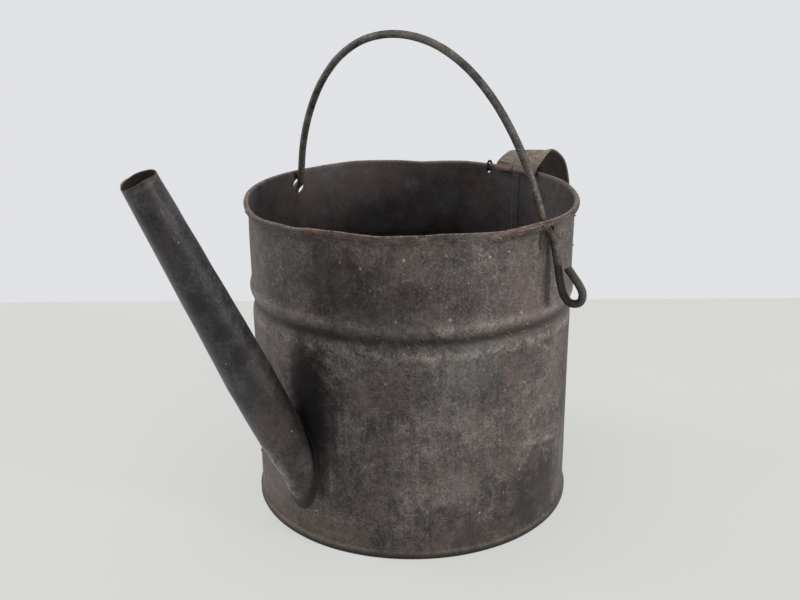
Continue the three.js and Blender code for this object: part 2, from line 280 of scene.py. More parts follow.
def wall_section():
    """(radius, height) of the wall's outer face, its curl and its inner face, in one closed round."""
    centre = np.array([DRUM_RADIUS + CURL_INNER, RIM_HEIGHT - CURL_OUTER])
    levels = np.concatenate([
        np.linspace(WALL_FOOT, FOOT_FLARE_HEIGHT, 8, endpoint=False),
        np.linspace(FOOT_FLARE_HEIGHT, BEAD_HEIGHT - BEAD_REACH, 60, endpoint=False),
        np.linspace(BEAD_HEIGHT - BEAD_REACH, BEAD_HEIGHT + BEAD_REACH, 28, endpoint=False),
        np.linspace(BEAD_HEIGHT + BEAD_REACH, RIM_HEIGHT - LIP_DEPTH, 20, endpoint=False),
        np.linspace(RIM_HEIGHT - LIP_DEPTH, centre[1] + CURL_OUTER * np.sin(radians(LIP_TURN_DEG)), 9),
    ])
    outside = np.stack([DRUM_RADIUS + lip_out(RIM_HEIGHT - levels), levels], axis=1)
    inside = np.stack([np.full_like(levels, DRUM_RADIUS - SHEET), levels], axis=1)[::-1]
    turns = np.radians(np.linspace(LIP_TURN_DEG, 180, 16))[1:]
    over = centre + CURL_OUTER * np.stack([np.cos(turns), np.sin(turns)], axis=1)
    return np.concatenate([outside, over, inside])


def drum_bearings():
    """Bearings round the drum, closest together where the lock seam stands proud inside."""
    half = 2 * SEAM_WIDTH / DRUM_RADIUS
    seam = radians(SEAM_BEARING_DEG)
    near = np.linspace(seam - half, seam + half, 41)
    far = np.linspace(seam + half, seam - half + 2 * np.pi, 300)
    return np.concatenate([near, far[1:-1]])


bearings = drum_bearings()
seam_offset = DRUM_RADIUS * np.abs(turn_from(bearings, SEAM_BEARING_DEG))
seam_step = SEAM_PROUD * (1 - ramp(seam_offset, SEAM_WIDTH / 2 - SEAM_EASE, SEAM_WIDTH / 2 + SEAM_EASE))
rings = []
for radius, height in wall_section():
    below_curl = ramp(RIM_HEIGHT - height, CURL_OUTER, 3 * CURL_OUTER)
    inner_face = float(radius < DRUM_RADIUS - SHEET / 2)
    flattened = max(radius - DRUM_RADIUS, 0) * (1 - round_drum(bearings, CURL_LEFT))
    rings.append(on_drum(bearings, radius - flattened - seam_step * inner_face * below_curl, height))
drum = shell("drum", rings)


def wall_peg(name, bearing_deg, height, radius, uneven, seed):
    """A plug through the wall along a bearing, with a ragged outline."""
    around = np.linspace(0, 2 * np.pi, 40, endpoint=False)
    ragged = radius * (1 + uneven * ripple(seed, 5, around))
    bearing = radians(bearing_deg)
    outward_way = np.array([np.cos(bearing), np.sin(bearing), 0])
    sideways = np.array([-np.sin(bearing), np.cos(bearing), 0])
    upward = np.array([0, 0, 1])
    outline = ragged[:, None] * (np.cos(around)[:, None] * sideways + np.sin(around)[:, None] * upward)
    depths = (DRUM_RADIUS - PEG_INWARD, DRUM_RADIUS + PEG_OUTWARD)
    return plug(name, [depth * outward_way + height * upward + outline for depth in depths])


# The spout's bore is cut with the spout's own cone, in the frame that slopes with it.
SPOUT_SLOPE = radians(64.2)
SPOUT_START = np.array([-DRUM_RADIUS, 0, 0.0496])
SPOUT_AXIS = np.array([-np.cos(SPOUT_SLOPE), 0, np.sin(SPOUT_SLOPE)])
SPOUT_UPPER = np.array([np.sin(SPOUT_SLOPE), 0, np.cos(SPOUT_SLOPE)])
SPOUT_SIDE = np.array([0, 1, 0])
SPOUT_LENGTH = 0.203
SPOUT_ROOT_RADIUS = 0.0158
SPOUT_TIP_RADIUS = 0.0095
SPOUT_ROOT_SQUASH = 0.82
SPOUT_SQUASH_LENGTH = 0.070
SPOUT_PINCH = 0.15
SPOUT_PINCH_DEG = 138
SPOUT_PINCH_TURN_DEG = 40
SPOUT_PINCH_FROM = -0.012
SPOUT_PINCH_TO = 0.028
SPOUT_SIDES = 144
BORE_REACH = 0.05


def on_spout(around, along, grow):
    """Points on the spout's cone at a distance along its axis, grown evenly outwards."""
    pinch = SPOUT_PINCH * hump(turn_from(around, SPOUT_PINCH_DEG), radians(SPOUT_PINCH_TURN_DEG))
    radius = SPOUT_ROOT_RADIUS + (SPOUT_TIP_RADIUS - SPOUT_ROOT_RADIUS) * along / SPOUT_LENGTH
    radius = radius * (1 - pinch * (1 - ramp(along, SPOUT_PINCH_FROM, SPOUT_PINCH_TO)))
    squash = (1 - SPOUT_ROOT_SQUASH) * np.clip(1 - along / SPOUT_SQUASH_LENGTH, 0, 1)
    rise = (radius * (1 - squash) + grow * np.cos(SPOUT_SLOPE)) * np.cos(around)
    side = (radius + grow) * np.sin(around)
    along = np.broadcast_to(along, rise.shape)
    return (SPOUT_START + along[:, None] * SPOUT_AXIS
            + rise[:, None] * SPOUT_UPPER + side[:, None] * SPOUT_SIDE)


spout_around = np.linspace(0, 2 * np.pi, SPOUT_SIDES, endpoint=False)
bore = plug("bore", [on_spout(spout_around, np.full(SPOUT_SIDES, along), -SHEET)
                     for along in (-BORE_REACH, 0.0, BORE_REACH)])
cut(drum, [
    bore,
    wall_peg("front_hole", FRONT_HOLE_DEG, PIVOT_HEIGHT, FRONT_HOLE_RADIUS, 0.10, 21),
    wall_peg("rear_hole", REAR_HOLE_DEG, PIVOT_HEIGHT, REAR_HOLE_RADIUS, 0.05, 22),
    wall_peg("tie_hole", TIE_BEARING_DEG, TIE_HOLE_HEIGHT, TIE_HOLE_RADIUS, 0.1, 23),
    *[wall_peg("pit", bearing_deg, height, radius, 0.2, 24) for bearing_deg, height, radius in PITS],
])
smooth(drum, 40)
x, y, z = points_of(drum).T
bearing = np.arctan2(y, x)
middle_of_sheet = DRUM_RADIUS + wall_out(bearing, z) - SHEET / 2
inside = np.hypot(x, y) < middle_of_sheet
from_seam = DRUM_RADIUS * np.abs(turn_from(bearing, SEAM_BEARING_DEG))
mark(drum, "inside", inside)
mark(drum, "below_rim", RIM_HEIGHT + rim_line(bearing) - z)
mark(drum, "above_bead", z - bead_line(bearing))
mark(drum, "seam_edge", inside * hump(from_seam - SEAM_WIDTH / 2, SHEET))


class Tone:
    """A socket of a node tree, on which arithmetic adds Math nodes."""

    def __init__(self, tree, socket=None):
        self.tree = tree
        self.socket = socket

    def node(self, kind, settings, inputs, output=0):
        made = self.tree.nodes.new(kind)
        for name, value in settings.items():
            setattr(made, name, value)
        for name, value in inputs.items():
            if isinstance(value, Tone):
                self.tree.links.new(value.socket, made.inputs[name])
            else:
                made.inputs[name].default_value = value
        return Tone(self.tree, None if output is None else made.outputs[output])

    def maths(self, operation, first, second):
        return self.node("ShaderNodeMath", {"operation": operation}, {0: first, 1: second})

    def __add__(self, other):
        return self.maths("ADD", self, other)

    def __radd__(self, other):
        return self.maths("ADD", other, self)

    def __sub__(self, other):
        return self.maths("SUBTRACT", self, other)

    def __rsub__(self, other):
        return self.maths("SUBTRACT", other, self)

    def __mul__(self, other):
        return self.maths("MULTIPLY", self, other)

    def __rmul__(self, other):
        return self.maths("MULTIPLY", other, self)

    def most(self, other):
        return self.maths("MAXIMUM", self, other)

    def part(self, axis):
        return self.node("ShaderNodeSeparateXYZ", {}, {0: self}, axis)

    def between(self, low, high):
        """Eases from 0 to 1 as the value goes from low to high."""
        return self.node(
            "ShaderNodeMapRange", {"interpolation_type": "SMOOTHSTEP"},
            {"Value": self, "From Min": low, "From Max": high, "To Min": 0.0, "To Max": 1.0})

    def near(self, centre, reach):
        """1 at the centre value, easing to 0 a reach away on either side."""
        return self.between(centre - reach, centre) * self.between(centre + reach, centre)

    def blend(self, below, above):
        """The colour below where the value is 0, and the colour above where it is 1."""
        return self.node("ShaderNodeMix", {"data_type": "RGBA"}, {0: self, 6: below, 7: above}, 2)

    def noise(self, scale, detail=3.0, roughness=0.55, twist=0.0):
        return self.node(
            "ShaderNodeTexNoise", {},
            {"Vector": self, "Scale": scale, "Detail": detail, "Roughness": roughness, "Distortion": twist},
            "Fac")

    def stretched(self, scales, turn=(0, 0, 0), shift=(0, 0, 0)):
        return self.node(
            "ShaderNodeMapping", {},
            {"Vector": self, "Scale": scales, "Rotation": turn, "Location": shift})

    def patch(self, place, turn, reach, ragged, soft=0.6):
        """1 at a place on the piece, fading to 0 at its ragged edge."""
        local = self.node(
            "ShaderNodeMapping", {"vector_type": "TEXTURE"},
            {"Vector": self, "Location": place, "Rotation": turn, "Scale": reach})
        distance = self.node("ShaderNodeVectorMath", {"operation": "LENGTH"}, {0: local}, "Value")
        return (distance + (ragged - 0.5) * 1.8).between(1.0, 1.0 - soft)


def shade(red, green, blue):
    """A colour as seen on a screen, from 0 to 255, as linear light."""
    def linear(level):
        level = level / 255
        return level / 12.92 if level <= 0.04045 else ((level + 0.055) / 1.055) ** 2.4
    return (linear(red), linear(green), linear(blue), 1.0)


class Iron:
    """Old iron: a skin mottled at every size from a hand down to a grain of sand, then stained."""

    def __init__(self, name, dark, pale, bloom, runs=0.25):
        self.material = bpy.data.materials.new(name)
        self.material.use_nodes = True
        self.tree = self.material.node_tree
        self.surface = self.tree.nodes["Principled BSDF"]
        self.at = Tone(self.tree).node("ShaderNodeTexCoord", {}, {}, "Object")
        broad = self.at.noise(20, 3)
        cloud = self.at.noise(62, 4, 0.6)
        self.mottle = self.at.noise(180, 4, 0.65)
        self.grain = self.at.noise(560, 3, 0.7)
        self.sand = self.at.noise(1500, 2, 0.6)
        streak = self.at.stretched((1, 1, 0.08)).noise(420, 4, 0.7)
        self.ragged = cloud * 0.5 + self.mottle * 0.3 + self.grain * 0.2
        self.broken = (self.mottle * 0.4 + self.grain * 0.35 + self.sand * 0.25).between(0.38, 0.62)
        light = (0.5 + (broad - 0.5) * 0.60 + (cloud - 0.5) * 0.75 + (self.mottle - 0.5) * 0.75
                 + (self.grain - 0.5) * 0.90 + (self.sand - 0.5) * 1.20 + (streak - 0.5) * runs)
        self.colour = (light * light).blend(dark, pale)
        tinted = self.at.stretched((1, 1, 0.7), shift=(3, 1, 2)).noise(48, 4, 0.6)
        self.scuff(tinted.between(0.46, 0.64) * 0.45, bloom)
        self.rough = 0.46 + self.mottle * 0.2 + self.grain * 0.14
        self.relief = self.mottle * 0.5 + self.grain * 0.35 + self.sand * 0.15

    def read(self, name):
        """A number kept on the piece's own points."""
        return self.at.node("ShaderNodeAttribute", {"attribute_name": name}, {}, "Fac")

    def stain(self, mask, colour):
        self.colour = mask.blend(self.colour, colour)

    def scuff(self, mask, colour):
        """A stain broken up by the grain of the skin."""
        self.stain(mask * (0.35 + self.broken * 0.95), colour)

    def tint(self, mask, colour):
        """Dyes the skin without hiding its grain."""
        self.colour = mask.node(
            "ShaderNodeMix", {"data_type": "RGBA", "blend_type": "MULTIPLY"},
            {0: mask, 6: self.colour, 7: colour}, 2)

    def specks(self, scale, size, amount, colour, seed, strength=1.0):
        """Small separate chips, in some of the cells that the surface is divided into."""
        cells = self.at.stretched((1, 1, 1), shift=(seed, seed * 2, seed * 3))
        far = cells.node("ShaderNodeTexVoronoi", {}, {"Vector": cells, "Scale": scale}, "Distance")
        pick = cells.node("ShaderNodeTexVoronoi", {}, {"Vector": cells, "Scale": scale}, "Color")
        chosen = pick.node("ShaderNodeSeparateColor", {}, {0: pick}).between(1 - amount, 1 - amount * 0.8)
        gathered = cells.noise(46, 4).between(0.54, 0.62)
        mask = (far + (self.sand - 0.5) * 0.25).between(size, size * 0.5) * chosen * gathered
        self.stain(mask * strength, colour)

    def scratches(self, turn, level, colour, strength):
        """Thin pale lines that run one way and break off."""
        lines = self.at.stretched((1, 1, 1), turn=turn).stretched((1.0, 0.10, 0.10)).noise(900, 2, 0.5)
        breaks = self.at.stretched((1, 1, 1), shift=turn).noise(60, 3)
        self.stain(lines.between(level, level + 0.08) * breaks.between(0.46, 0.62) * strength, colour)

    def finish(self, metallic, bump_depth):
        links = self.tree.links
        links.new(self.colour.socket, self.surface.inputs["Base Color"])
        links.new(self.rough.socket, self.surface.inputs["Roughness"])
        self.surface.inputs["Metallic"].default_value = metallic
        bump = self.relief.node(
            "ShaderNodeBump", {}, {"Strength": 0.7, "Distance": bump_depth, "Height": self.relief})
        links.new(bump.socket, self.surface.inputs["Normal"])
        return self.material


def dress(piece, material):
    """Gives the whole piece one finish."""
    piece.data.materials.clear()
    piece.data.materials.append(material)


def wall_point(bearing_deg, height):
    bearing = radians(bearing_deg)
    return (DRUM_RADIUS * np.cos(bearing), DRUM_RADIUS * np.sin(bearing), height)


SOOT_AND_SHADE = shade(20, 18, 18)
CHALK = shade(168, 162, 155)
PALE_SKIN = shade(128, 114, 110)
ORANGE_RUST = shade(128, 88, 66)
RED_RUST = shade(92, 68, 60)
DARK_RUST = shade(52, 40, 36)
TAN_DUST = shade(112, 99, 84)
GREY_GREEN = shade(92, 92, 88)
BLUE_GREY = shade(112, 114, 116)
SOOT_AND_SHADE_DYE = shade(98, 90, 87)
RUST_LAYER = shade(140, 120, 106)
CREST_WEAR_AND_HIGHLIGHT = shade(150, 136, 124)
LARGE_FLECK = shade(196, 190, 182)
SMALL_FLECK = shade(176, 170, 163)
DARK_SCALE = shade(22, 20, 22)
PALE_SCALE = shade(88, 82, 82)
ROSY_SCALE = shade(74, 56, 54)
# Depths below the rim's top: where its rust fades out, the curl's lower edge, its face and its crest
RUST_FADE = 0.0090
CURL_EDGE = 0.0036
CURL_FACE = 0.0020
CREST_EDGE = 0.0008
CREST = 0.0001
# Bands along the bead: height from its middle line, half-width
RIDGE_BAND = (0.0048, 0.0044)
GROOVE_BAND = (-0.0030, 0.0052)
LOWER_LIP_BAND = (-0.0115, 0.0036)
# The rubbed middle of the long crease: bearing, slope and height, then its depth, length and width
RUBBED_DEG = -85
RUBBED_SLOPE_DEG = -11
RUBBED_HEIGHT = 0.0577
RUBBED_REACH = (0.03, 0.036, 0.0022)
STAIN_DEPTH = 0.02
# Soot and painted shade on the outside: bearing in degrees, height, half-width across, half-height,
# strength
DRUM_SOOT_AND_SHADE = [
    # Beside the spout's foot: soot, with painted shade where the spout shades the wall
    (-174.5, 0.100, 0.0170, 0.042, 1.00),
    (-172, 0.064, 0.0130, 0.048, 1.00),
    (-167, 0.080, 0.0160, 0.056, 0.70),
    # High on the left: darker, partly painted shade
    (-163, 0.166, 0.032, 0.026, 0.60),
    # Patches that darken the wall
    (-146, 0.150, 0.046, 0.030, 0.50),
    (-88, 0.024, 0.040, 0.034, 0.75),
    (-128, 0.026, 0.020, 0.014, 0.40),
    # Under the torn lip's crumbs: painted shadow
    (-90, 0.184, 0.005, 0.009, 0.90),
    (-84.5, 0.1855, 0.0050, 0.0035, 0.80),
]
# Stains on the outside: colour, bearing in degrees, height, half-width across, half-height, strength
DRUM_STAINS = [
    (PALE_SKIN, 174, 0.112, 0.016, 0.034, 0.40),
    (PALE_SKIN, 160, 0.150, 0.018, 0.060, 0.30),
    (PALE_SKIN, -80, 0.130, 0.026, 0.050, 0.25),
    (CHALK, -161.3, 0.078, 0.003, 0.022, 0.22),
    (CHALK, -164.7, 0.046, 0.0018, 0.013, 0.35),
    (GREY_GREEN, -118, 0.120, 0.026, 0.022, 0.35),
    (BLUE_GREY, -122, 0.043, 0.014, 0.016, 0.18),
    (BLUE_GREY, -126, 0.094, 0.020, 0.022, 0.15),
    (PALE_SKIN, 166, 0.030, 0.024, 0.026, 0.45),
    (TAN_DUST, -176, 0.012, 0.056, 0.016, 0.45),
    (RED_RUST, -154, 0.177, 0.016, 0.010, 0.40),
    (RED_RUST, -100, 0.136, 0.030, 0.016, 0.30),
    (RED_RUST, -90, 0.183, 0.006, 0.009, 0.60),
    (DARK_RUST, -89.4, 0.1825, 0.0042, 0.0095, 0.90),
    (DARK_RUST, -112, 0.012, 0.060, 0.010, 0.60),
]
# Chips down to bare bright metal: bearing in degrees, height, half-size
DRUM_CHIPS = [
    (170.5, 0.184, 0.0013), (171, 0.175, 0.0010), (-178.6, 0.162, 0.0011), (-177, 0.1615, 0.0009),
    (-171.6, 0.0206, 0.0014), (-152.3, 0.176, 0.0010), (-159, 0.178, 0.0009), (-149.3, 0.1636, 0.0009),
    (-141.3, 0.1467, 0.0012), (-138.7, 0.181, 0.0010), (-124.5, 0.147, 0.0012), (-111.5, 0.180, 0.0010),
    (-98.9, 0.1446, 0.0012), (-95.7, 0.137, 0.0010), (-89, 0.1205, 0.0011), (-144.8, 0.110, 0.0010),
    (-155.4, 0.097, 0.0011), (-113.3, 0.0254, 0.0011), (-97.4, 0.046, 0.0011), (167.5, 0.018, 0.0009),
]
# Rust on the curl of the rim: colour, bearing in degrees, half-width, strength
RIM_RUST = [
    (RED_RUST, -97, 0.034, 0.8), (RED_RUST, -45, 0.040, 0.6), (RED_RUST, 40, 0.060, 0.5),
    (RED_RUST, -150, 0.022, 0.5), (ORANGE_RUST, -168, 0.009, 0.8), (SOOT_AND_SHADE, -88.5, 0.0042, 1.0),
]
# Blotches on the inside: colour, bearing in degrees, height, half-width across, half-height, strength
INSIDE_STAINS = [
    (PALE_SKIN, -28, 0.178, 0.040, 0.034, 0.35),
    (SOOT_AND_SHADE, 112, 0.175, 0.040, 0.044, 0.45),
    (RED_RUST, 60, 0.182, 0.050, 0.012, 0.30),
    (RED_RUST, 12, 0.176, 0.022, 0.020, 0.25),
    (BLUE_GREY, 43, 0.179, 0.008, 0.007, 0.30),
    (BLUE_GREY, 30, 0.168, 0.012, 0.012, 0.25),
    (BLUE_GREY, 18, 0.164, 0.010, 0.010, 0.20),
]

iron = Iron("drum_iron", shade(22, 18, 17), shade(138, 128, 123), shade(94, 77, 74), 0.40)
outside = 1 - iron.read("inside")


def on_wall(bearing_deg, height, across, tall):
    """A ragged patch of the iron in hand, at a place on the wall, inside and out."""
    place = wall_point(bearing_deg, height)
    return iron.at.patch(place, (0, 0, radians(bearing_deg)), (STAIN_DEPTH, across, tall), iron.ragged)


for colour, *spot, strength in DRUM_STAINS:
    iron.scuff(on_wall(*spot) * outside * strength, colour)
for *spot, size in DRUM_CHIPS:
    chip = iron.at.patch(wall_point(*spot), (0, 0, 0), (size, size, size), iron.sand)
    iron.scuff(chip * outside * 0.9, CHALK)
# The long crease low on the right is rubbed pale along its ridge.
turn = (radians(RUBBED_SLOPE_DEG), 0, radians(RUBBED_DEG))
rubbed = iron.at.patch(wall_point(RUBBED_DEG, RUBBED_HEIGHT), turn, RUBBED_REACH, iron.ragged)
iron.scuff(rubbed * outside * 0.18, CHALK)
# Dirt and painted shade darken the bead's groove. Wear and a painted highlight pale its ridge.
# Its lower lip is rubbed pale.
above_bead = iron.read("above_bead")
lightened = iron.mottle * 0.5 + iron.grain * 0.5
iron.scuff(above_bead.near(*RIDGE_BAND) * outside * 0.24, CHALK)
iron.tint(above_bead.near(*GROOVE_BAND) * outside * 0.85, SOOT_AND_SHADE_DYE)
iron.scuff(above_bead.near(*LOWER_LIP_BAND) * lightened.between(0.36, 0.60) * outside * 0.30, CHALK)
# Rust creeps over the curl of the rim in layers, and the very top is a thin pale line, partly wear and
# partly a painted highlight.
below_rim = iron.read("below_rim")
lip = below_rim.between(RUST_FADE, CURL_EDGE) * outside
on_curl = below_rim.between(CURL_EDGE, CURL_FACE) * outside
round_rim = iron.at.node("ShaderNodeCombineXYZ", {}, {
    0: iron.at.part("X"), 1: iron.at.part("Y"), 2: below_rim * 7.0})
layers = round_rim.noise(120, 4, 0.7)
iron.scuff(lip * 0.45, DARK_RUST)
for colour, bearing_deg, across, strength in RIM_RUST:
    iron.scuff(on_wall(bearing_deg, RIM_HEIGHT, across, STAIN_DEPTH) * on_curl * strength, colour)
iron.stain(lip * layers.between(0.46, 0.38) * 0.75, SOOT_AND_SHADE)
iron.scuff(lip * layers.between(0.55, 0.63) * 0.50, RUST_LAYER)
iron.stain(below_rim.between(CREST_EDGE, CREST) * iron.grain.between(0.40, 0.54) * 0.55, CREST_WEAR_AND_HIGHLIGHT)
for turn in ((0, 0.9, 0.4), (0.7, -0.6, 1.2), (1.5, 0.2, 0.8), (0.3, 1.5, 0.2)):
    iron.scratches(turn, 0.65, CHALK, 0.25)
iron.specks(170, 0.08, 0.50, LARGE_FLECK, 4, 0.9)
iron.specks(420, 0.20, 0.55, SMALL_FLECK, 9, 0.8)
# Soot, and painted shade beside the spout, high on the left and under the crumbs, dye the wall darker.
for *spot, strength in DRUM_SOOT_AND_SHADE:
    iron.tint(on_wall(*spot) * outside * strength, SOOT_AND_SHADE_DYE)
# Inside, the sheet is darker: scale and dried lime in soft blotches, and a pale line of lime along
# each edge of the seam.
within = iron.read("inside")
inner = (iron.ragged - 0.5) * 2.6 + 0.5
iron.stain(within * 0.85, inner.blend(DARK_SCALE, PALE_SCALE))
rosy = iron.at.noise(34, 4).between(0.50, 0.62)
iron.scuff(rosy * within * 0.40, ROSY_SCALE)
for colour, *spot, strength in INSIDE_STAINS:
    iron.scuff(on_wall(*spot) * within * strength, colour)
iron.scuff(iron.read("seam_edge") * 0.35, BLUE_GREY)
dress(drum, iron.finish(0.25, 0.0005))
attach(drum, "can")
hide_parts("drum_wall")

# Rim wire: a thin iron wire that the wall's edge was curled over. The curl and the rust under it
# have sealed it in, and it follows every bend of the rim.
RIM_WIRE = 0.0016


def geometry_tree(name, inputs):
    """A geometry tree's start, and its inputs by name: a line, a finish and the sizes it needs."""
    tree = bpy.data.node_groups.new(name, "GeometryNodeTree")
    inputs = {"Line": "NodeSocketGeometry", **inputs, "Finish": "NodeSocketMaterial"}
    for label, kind in inputs.items():
        tree.interface.new_socket(label, in_out="INPUT", socket_type=kind)
    tree.interface.new_socket("Made", in_out="OUTPUT", socket_type="NodeSocketGeometry")
    start = Tone(tree)
    return start, {label: start.node("NodeGroupInput", {}, {}, label) for label in inputs}


def finished_tree(made, finish):
    """Ends a tree: what it made becomes real geometry, gets its finish and goes out."""
    whole = made.node("GeometryNodeRealizeInstances", {}, {"Geometry": made})
    dressed = whole.node("GeometryNodeSetMaterial", {}, {"Geometry": whole, "Material": finish})
    dressed.node("NodeGroupOutput", {"is_active_output": True}, {"Made": dressed}, None)
    return made.tree


def grow(name, mesh, tree, values):
    """Runs a geometry tree on a mesh and keeps what it makes as a plain piece."""
    piece = placed(name, mesh)
    growth = piece.modifiers.new(tree.name, "NODES")
    growth.node_group = tree
    for socket in tree.interface.items_tree:
        if socket.name in values:
            growth[socket.identifier] = values[socket.name]
    return settle(piece)


def wire_tree():
    """Draws a round wire along the edges of a mesh line."""
    start, given = geometry_tree("drawn_wire", {
        "Diameter": "NodeSocketFloat", "Sides": "NodeSocketInt", "Wear": "NodeSocketFloat",
        "Seed": "NodeSocketFloat",
    })
    path = start.node("GeometryNodeMeshToCurve", {}, {"Mesh": given["Line"]})
    lumps = start.node(
        "ShaderNodeTexNoise", {"noise_dimensions": "4D"},
        {"W": given["Seed"], "Scale": 220.0, "Detail": 3.0}, "Fac")
    radius = given["Diameter"] * 0.5 * (1 + (lumps - 0.5) * given["Wear"])
    section = start.node(
        "GeometryNodeCurvePrimitiveCircle", {}, {"Resolution": given["Sides"], "Radius": 1.0})
    drawn = start.node(
        "GeometryNodeCurveToMesh", {},
        {"Curve": path, "Profile Curve": section, "Scale": radius, "Fill Caps": True})
    return finished_tree(drawn, given["Finish"])


def line_mesh(name, lines, closed=False):
    """Loose edges through each line of points."""
    points, edges = [], []
    for line in lines:
        first = len(points)
        points += np.asarray(line).tolist()
        edges += [(i, i + 1) for i in range(first, len(points) - 1)]
        if closed:
            edges.append((len(points) - 1, first))
    mesh = bpy.data.meshes.new(name)
    mesh.from_pydata(points, edges, [])
    return mesh


WIRE_TREE = wire_tree()
iron = Iron("rim_wire_iron", shade(26, 20, 18), shade(130, 108, 94), shade(104, 76, 60))
wire_at = np.linspace(0, 2 * np.pi, 240, endpoint=False)
wire_out = ((CURL_INNER + CURL_OUTER) * round_drum(wire_at, CURL_LEFT) - SHEET) / 2
wire_line = on_drum(wire_at, DRUM_RADIUS + wire_out, RIM_HEIGHT - CURL_OUTER)
rim_wire = grow("rim_stiffener", line_mesh("rim_stiffener", [wire_line], True), WIRE_TREE, {
    "Diameter": RIM_WIRE, "Sides": 10, "Wear": 0.0, "Seed": 1.0, "Finish": iron.finish(0.25, 0.0003)})
smooth(rim_wire, 40)
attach(rim_wire, "can")
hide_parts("rim_wire")

# Base plate: a disc of the same sheet with its edge turned up round the foot of the drum and
# sweated on, so a sloping fillet of solder fills the corner. Its edge is knocked uneven.
BASE_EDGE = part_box("base_plate")[1].z
BASE_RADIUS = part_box("base_plate")[1].x
BASE_CORNER = 0.0011
BASE_SHOULDER = 0.0034
BASE_MIDDLE = 0.02
BASE_KNOCKS = 0.0003
BASE_WAVER = 0.0005
SOLDER_RISE = 0.0008
# Heights on the base's edge: where the painted shadow ends above and is full below, and the dusty ledge
SHADOW_TOP = 0.0036
SHADOW_FULL = 0.0016
DUSTY_LEDGE = 0.0044
# Dust on the edge: bearing in degrees, height, half-width across, half-height
EDGE_DUST = (-174, 0.004, 0.056, STAIN_DEPTH)


def base_section():
    """(radius, height) from the underside out, up the turned edge and in over the solder to the floor."""
    corner = np.radians(np.linspace(-90, 0, 6))
    shoulder = np.radians(np.linspace(0, 55, 5))
    reach = BASE_RADIUS - BASE_CORNER
    section = [(BASE_MIDDLE, 0.0)]
    section += [(radius, 0.0) for radius in np.linspace(2 * BASE_MIDDLE, reach, 6)[:-1]]
    for turns, level in ((corner, BASE_CORNER), (shoulder, BASE_SHOULDER)):
        section += [(reach + BASE_CORNER * np.cos(a), level + BASE_CORNER * np.sin(a)) for a in turns]
    section += [(DRUM_RADIUS - SHEET / 3, BASE_EDGE + SOLDER_RISE), (DRUM_RADIUS - SHEET / 2, 2 * SHEET)]
    return section + [(DRUM_RADIUS - 2 * SHEET, SHEET), (2 * BASE_MIDDLE, SHEET), (BASE_MIDDLE, SHEET)]


around = np.linspace(0, 2 * np.pi, 300, endpoint=False)
rings = []
for radius, height in base_section():
    knocks = BASE_KNOCKS * ripple(31, 9, around * 2) * ramp(radius, DRUM_RADIUS, BASE_RADIUS)
    waver = BASE_WAVER * ripple(32, 8, around * 3) * ramp(height, BASE_CORNER, BASE_EDGE)
    out = radius + knocks
    rings.append(np.stack([out * np.cos(around), out * np.sin(around), height + waver], axis=-1))
base = smooth(plug("base", rings), 40)
iron = Iron("base_iron", shade(18, 15, 14), shade(118, 106, 98), shade(84, 70, 62))
level = iron.at.part("Z")
iron.scuff(on_wall(*EDGE_DUST) * 0.5, TAN_DUST)
# The foot of the edge is darkened as painted shadow where it meets the table.
iron.stain(level.between(SHADOW_TOP, SHADOW_FULL) * 0.9, SOOT_AND_SHADE)
iron.scuff(level.near(DUSTY_LEDGE, 2 * SHEET) * 0.3, TAN_DUST)
dress(base, iron.finish(0.25, 0.0004))
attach(base, "can")
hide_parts("base_plate")

# Spout: a sheet rolled to a cone with a lapped seam down its rear side, pinched flatter at its foot,
# cut to the drum and soldered on round a hole low in the wall. Its mouth is worn ragged and was cut
# askew, with a longer lip at the front.
SPOUT_FILLET = 0.0014
SPOUT_LAP_DEG = 110
SPOUT_LAP_WIDTH = 0.006
SPOUT_LAP_EASE = 0.0003
SPOUT_BEATEN = 0.0003
SPOUT_BEATEN_PITCH = 0.03
SOLDER_SINK = 0.00015
ROOT_SINK = 0.0004
ROOT_CLEAR = 0.0003
MOUTH_RAGGED = 0.0003
MOUTH_EDGE = 0.0001
MOUTH_NOTCH = 0.0006
MOUTH_LIP = 0.0030
# Angles round the spout from its upper side: the middle and the half-width, in degrees
NOTCH_SIDE = (232, 16)
LIP_SIDE = (248, 58)
SOLDER_SIDE = (170, 26)
SHEEN_SIDE = (154, 30)
SOOTY_SIDE = (310, 36)
FRONT_SHADE_SIDE = (250, 42)
# Stands for the way from the foot on rings inside the bore. It is longer than any on the outside.
IN_BORE = 1.0
SHEEN_TIN = shade(150, 151, 155)
SPOUT_FLECK = shade(180, 176, 170)
DARK_BORE = shade(62, 52, 50)
PALE_BORE = shade(150, 130, 122)
WARM_DYE = (1.08, 0.94, 0.88, 1.0)


def spout_foot(around, grow_by, stand_off):
    """How far along its axis the grown cone meets a surface standing a little off the wall."""
    low = np.full_like(around, -0.06)
    high = np.full_like(around, 0.08)
    for _ in range(40):
        middle = (low + high) / 2
        point = on_spout(around, middle, grow_by)
        bearing = np.arctan2(point[:, 1], point[:, 0])
        wall = DRUM_RADIUS + wall_out(bearing, point[:, 2]) + stand_off
        clear = np.hypot(point[:, 0], point[:, 1]) > wall
        high = np.where(clear, middle, high)
        low = np.where(clear, low, middle)
    return (low + high) / 2


def on_side(around, middle_deg, half_width_deg):
    """1 at the middle of one side of the spout, easing to 0 round it."""
    return hump(turn_from(around, middle_deg), radians(half_width_deg))


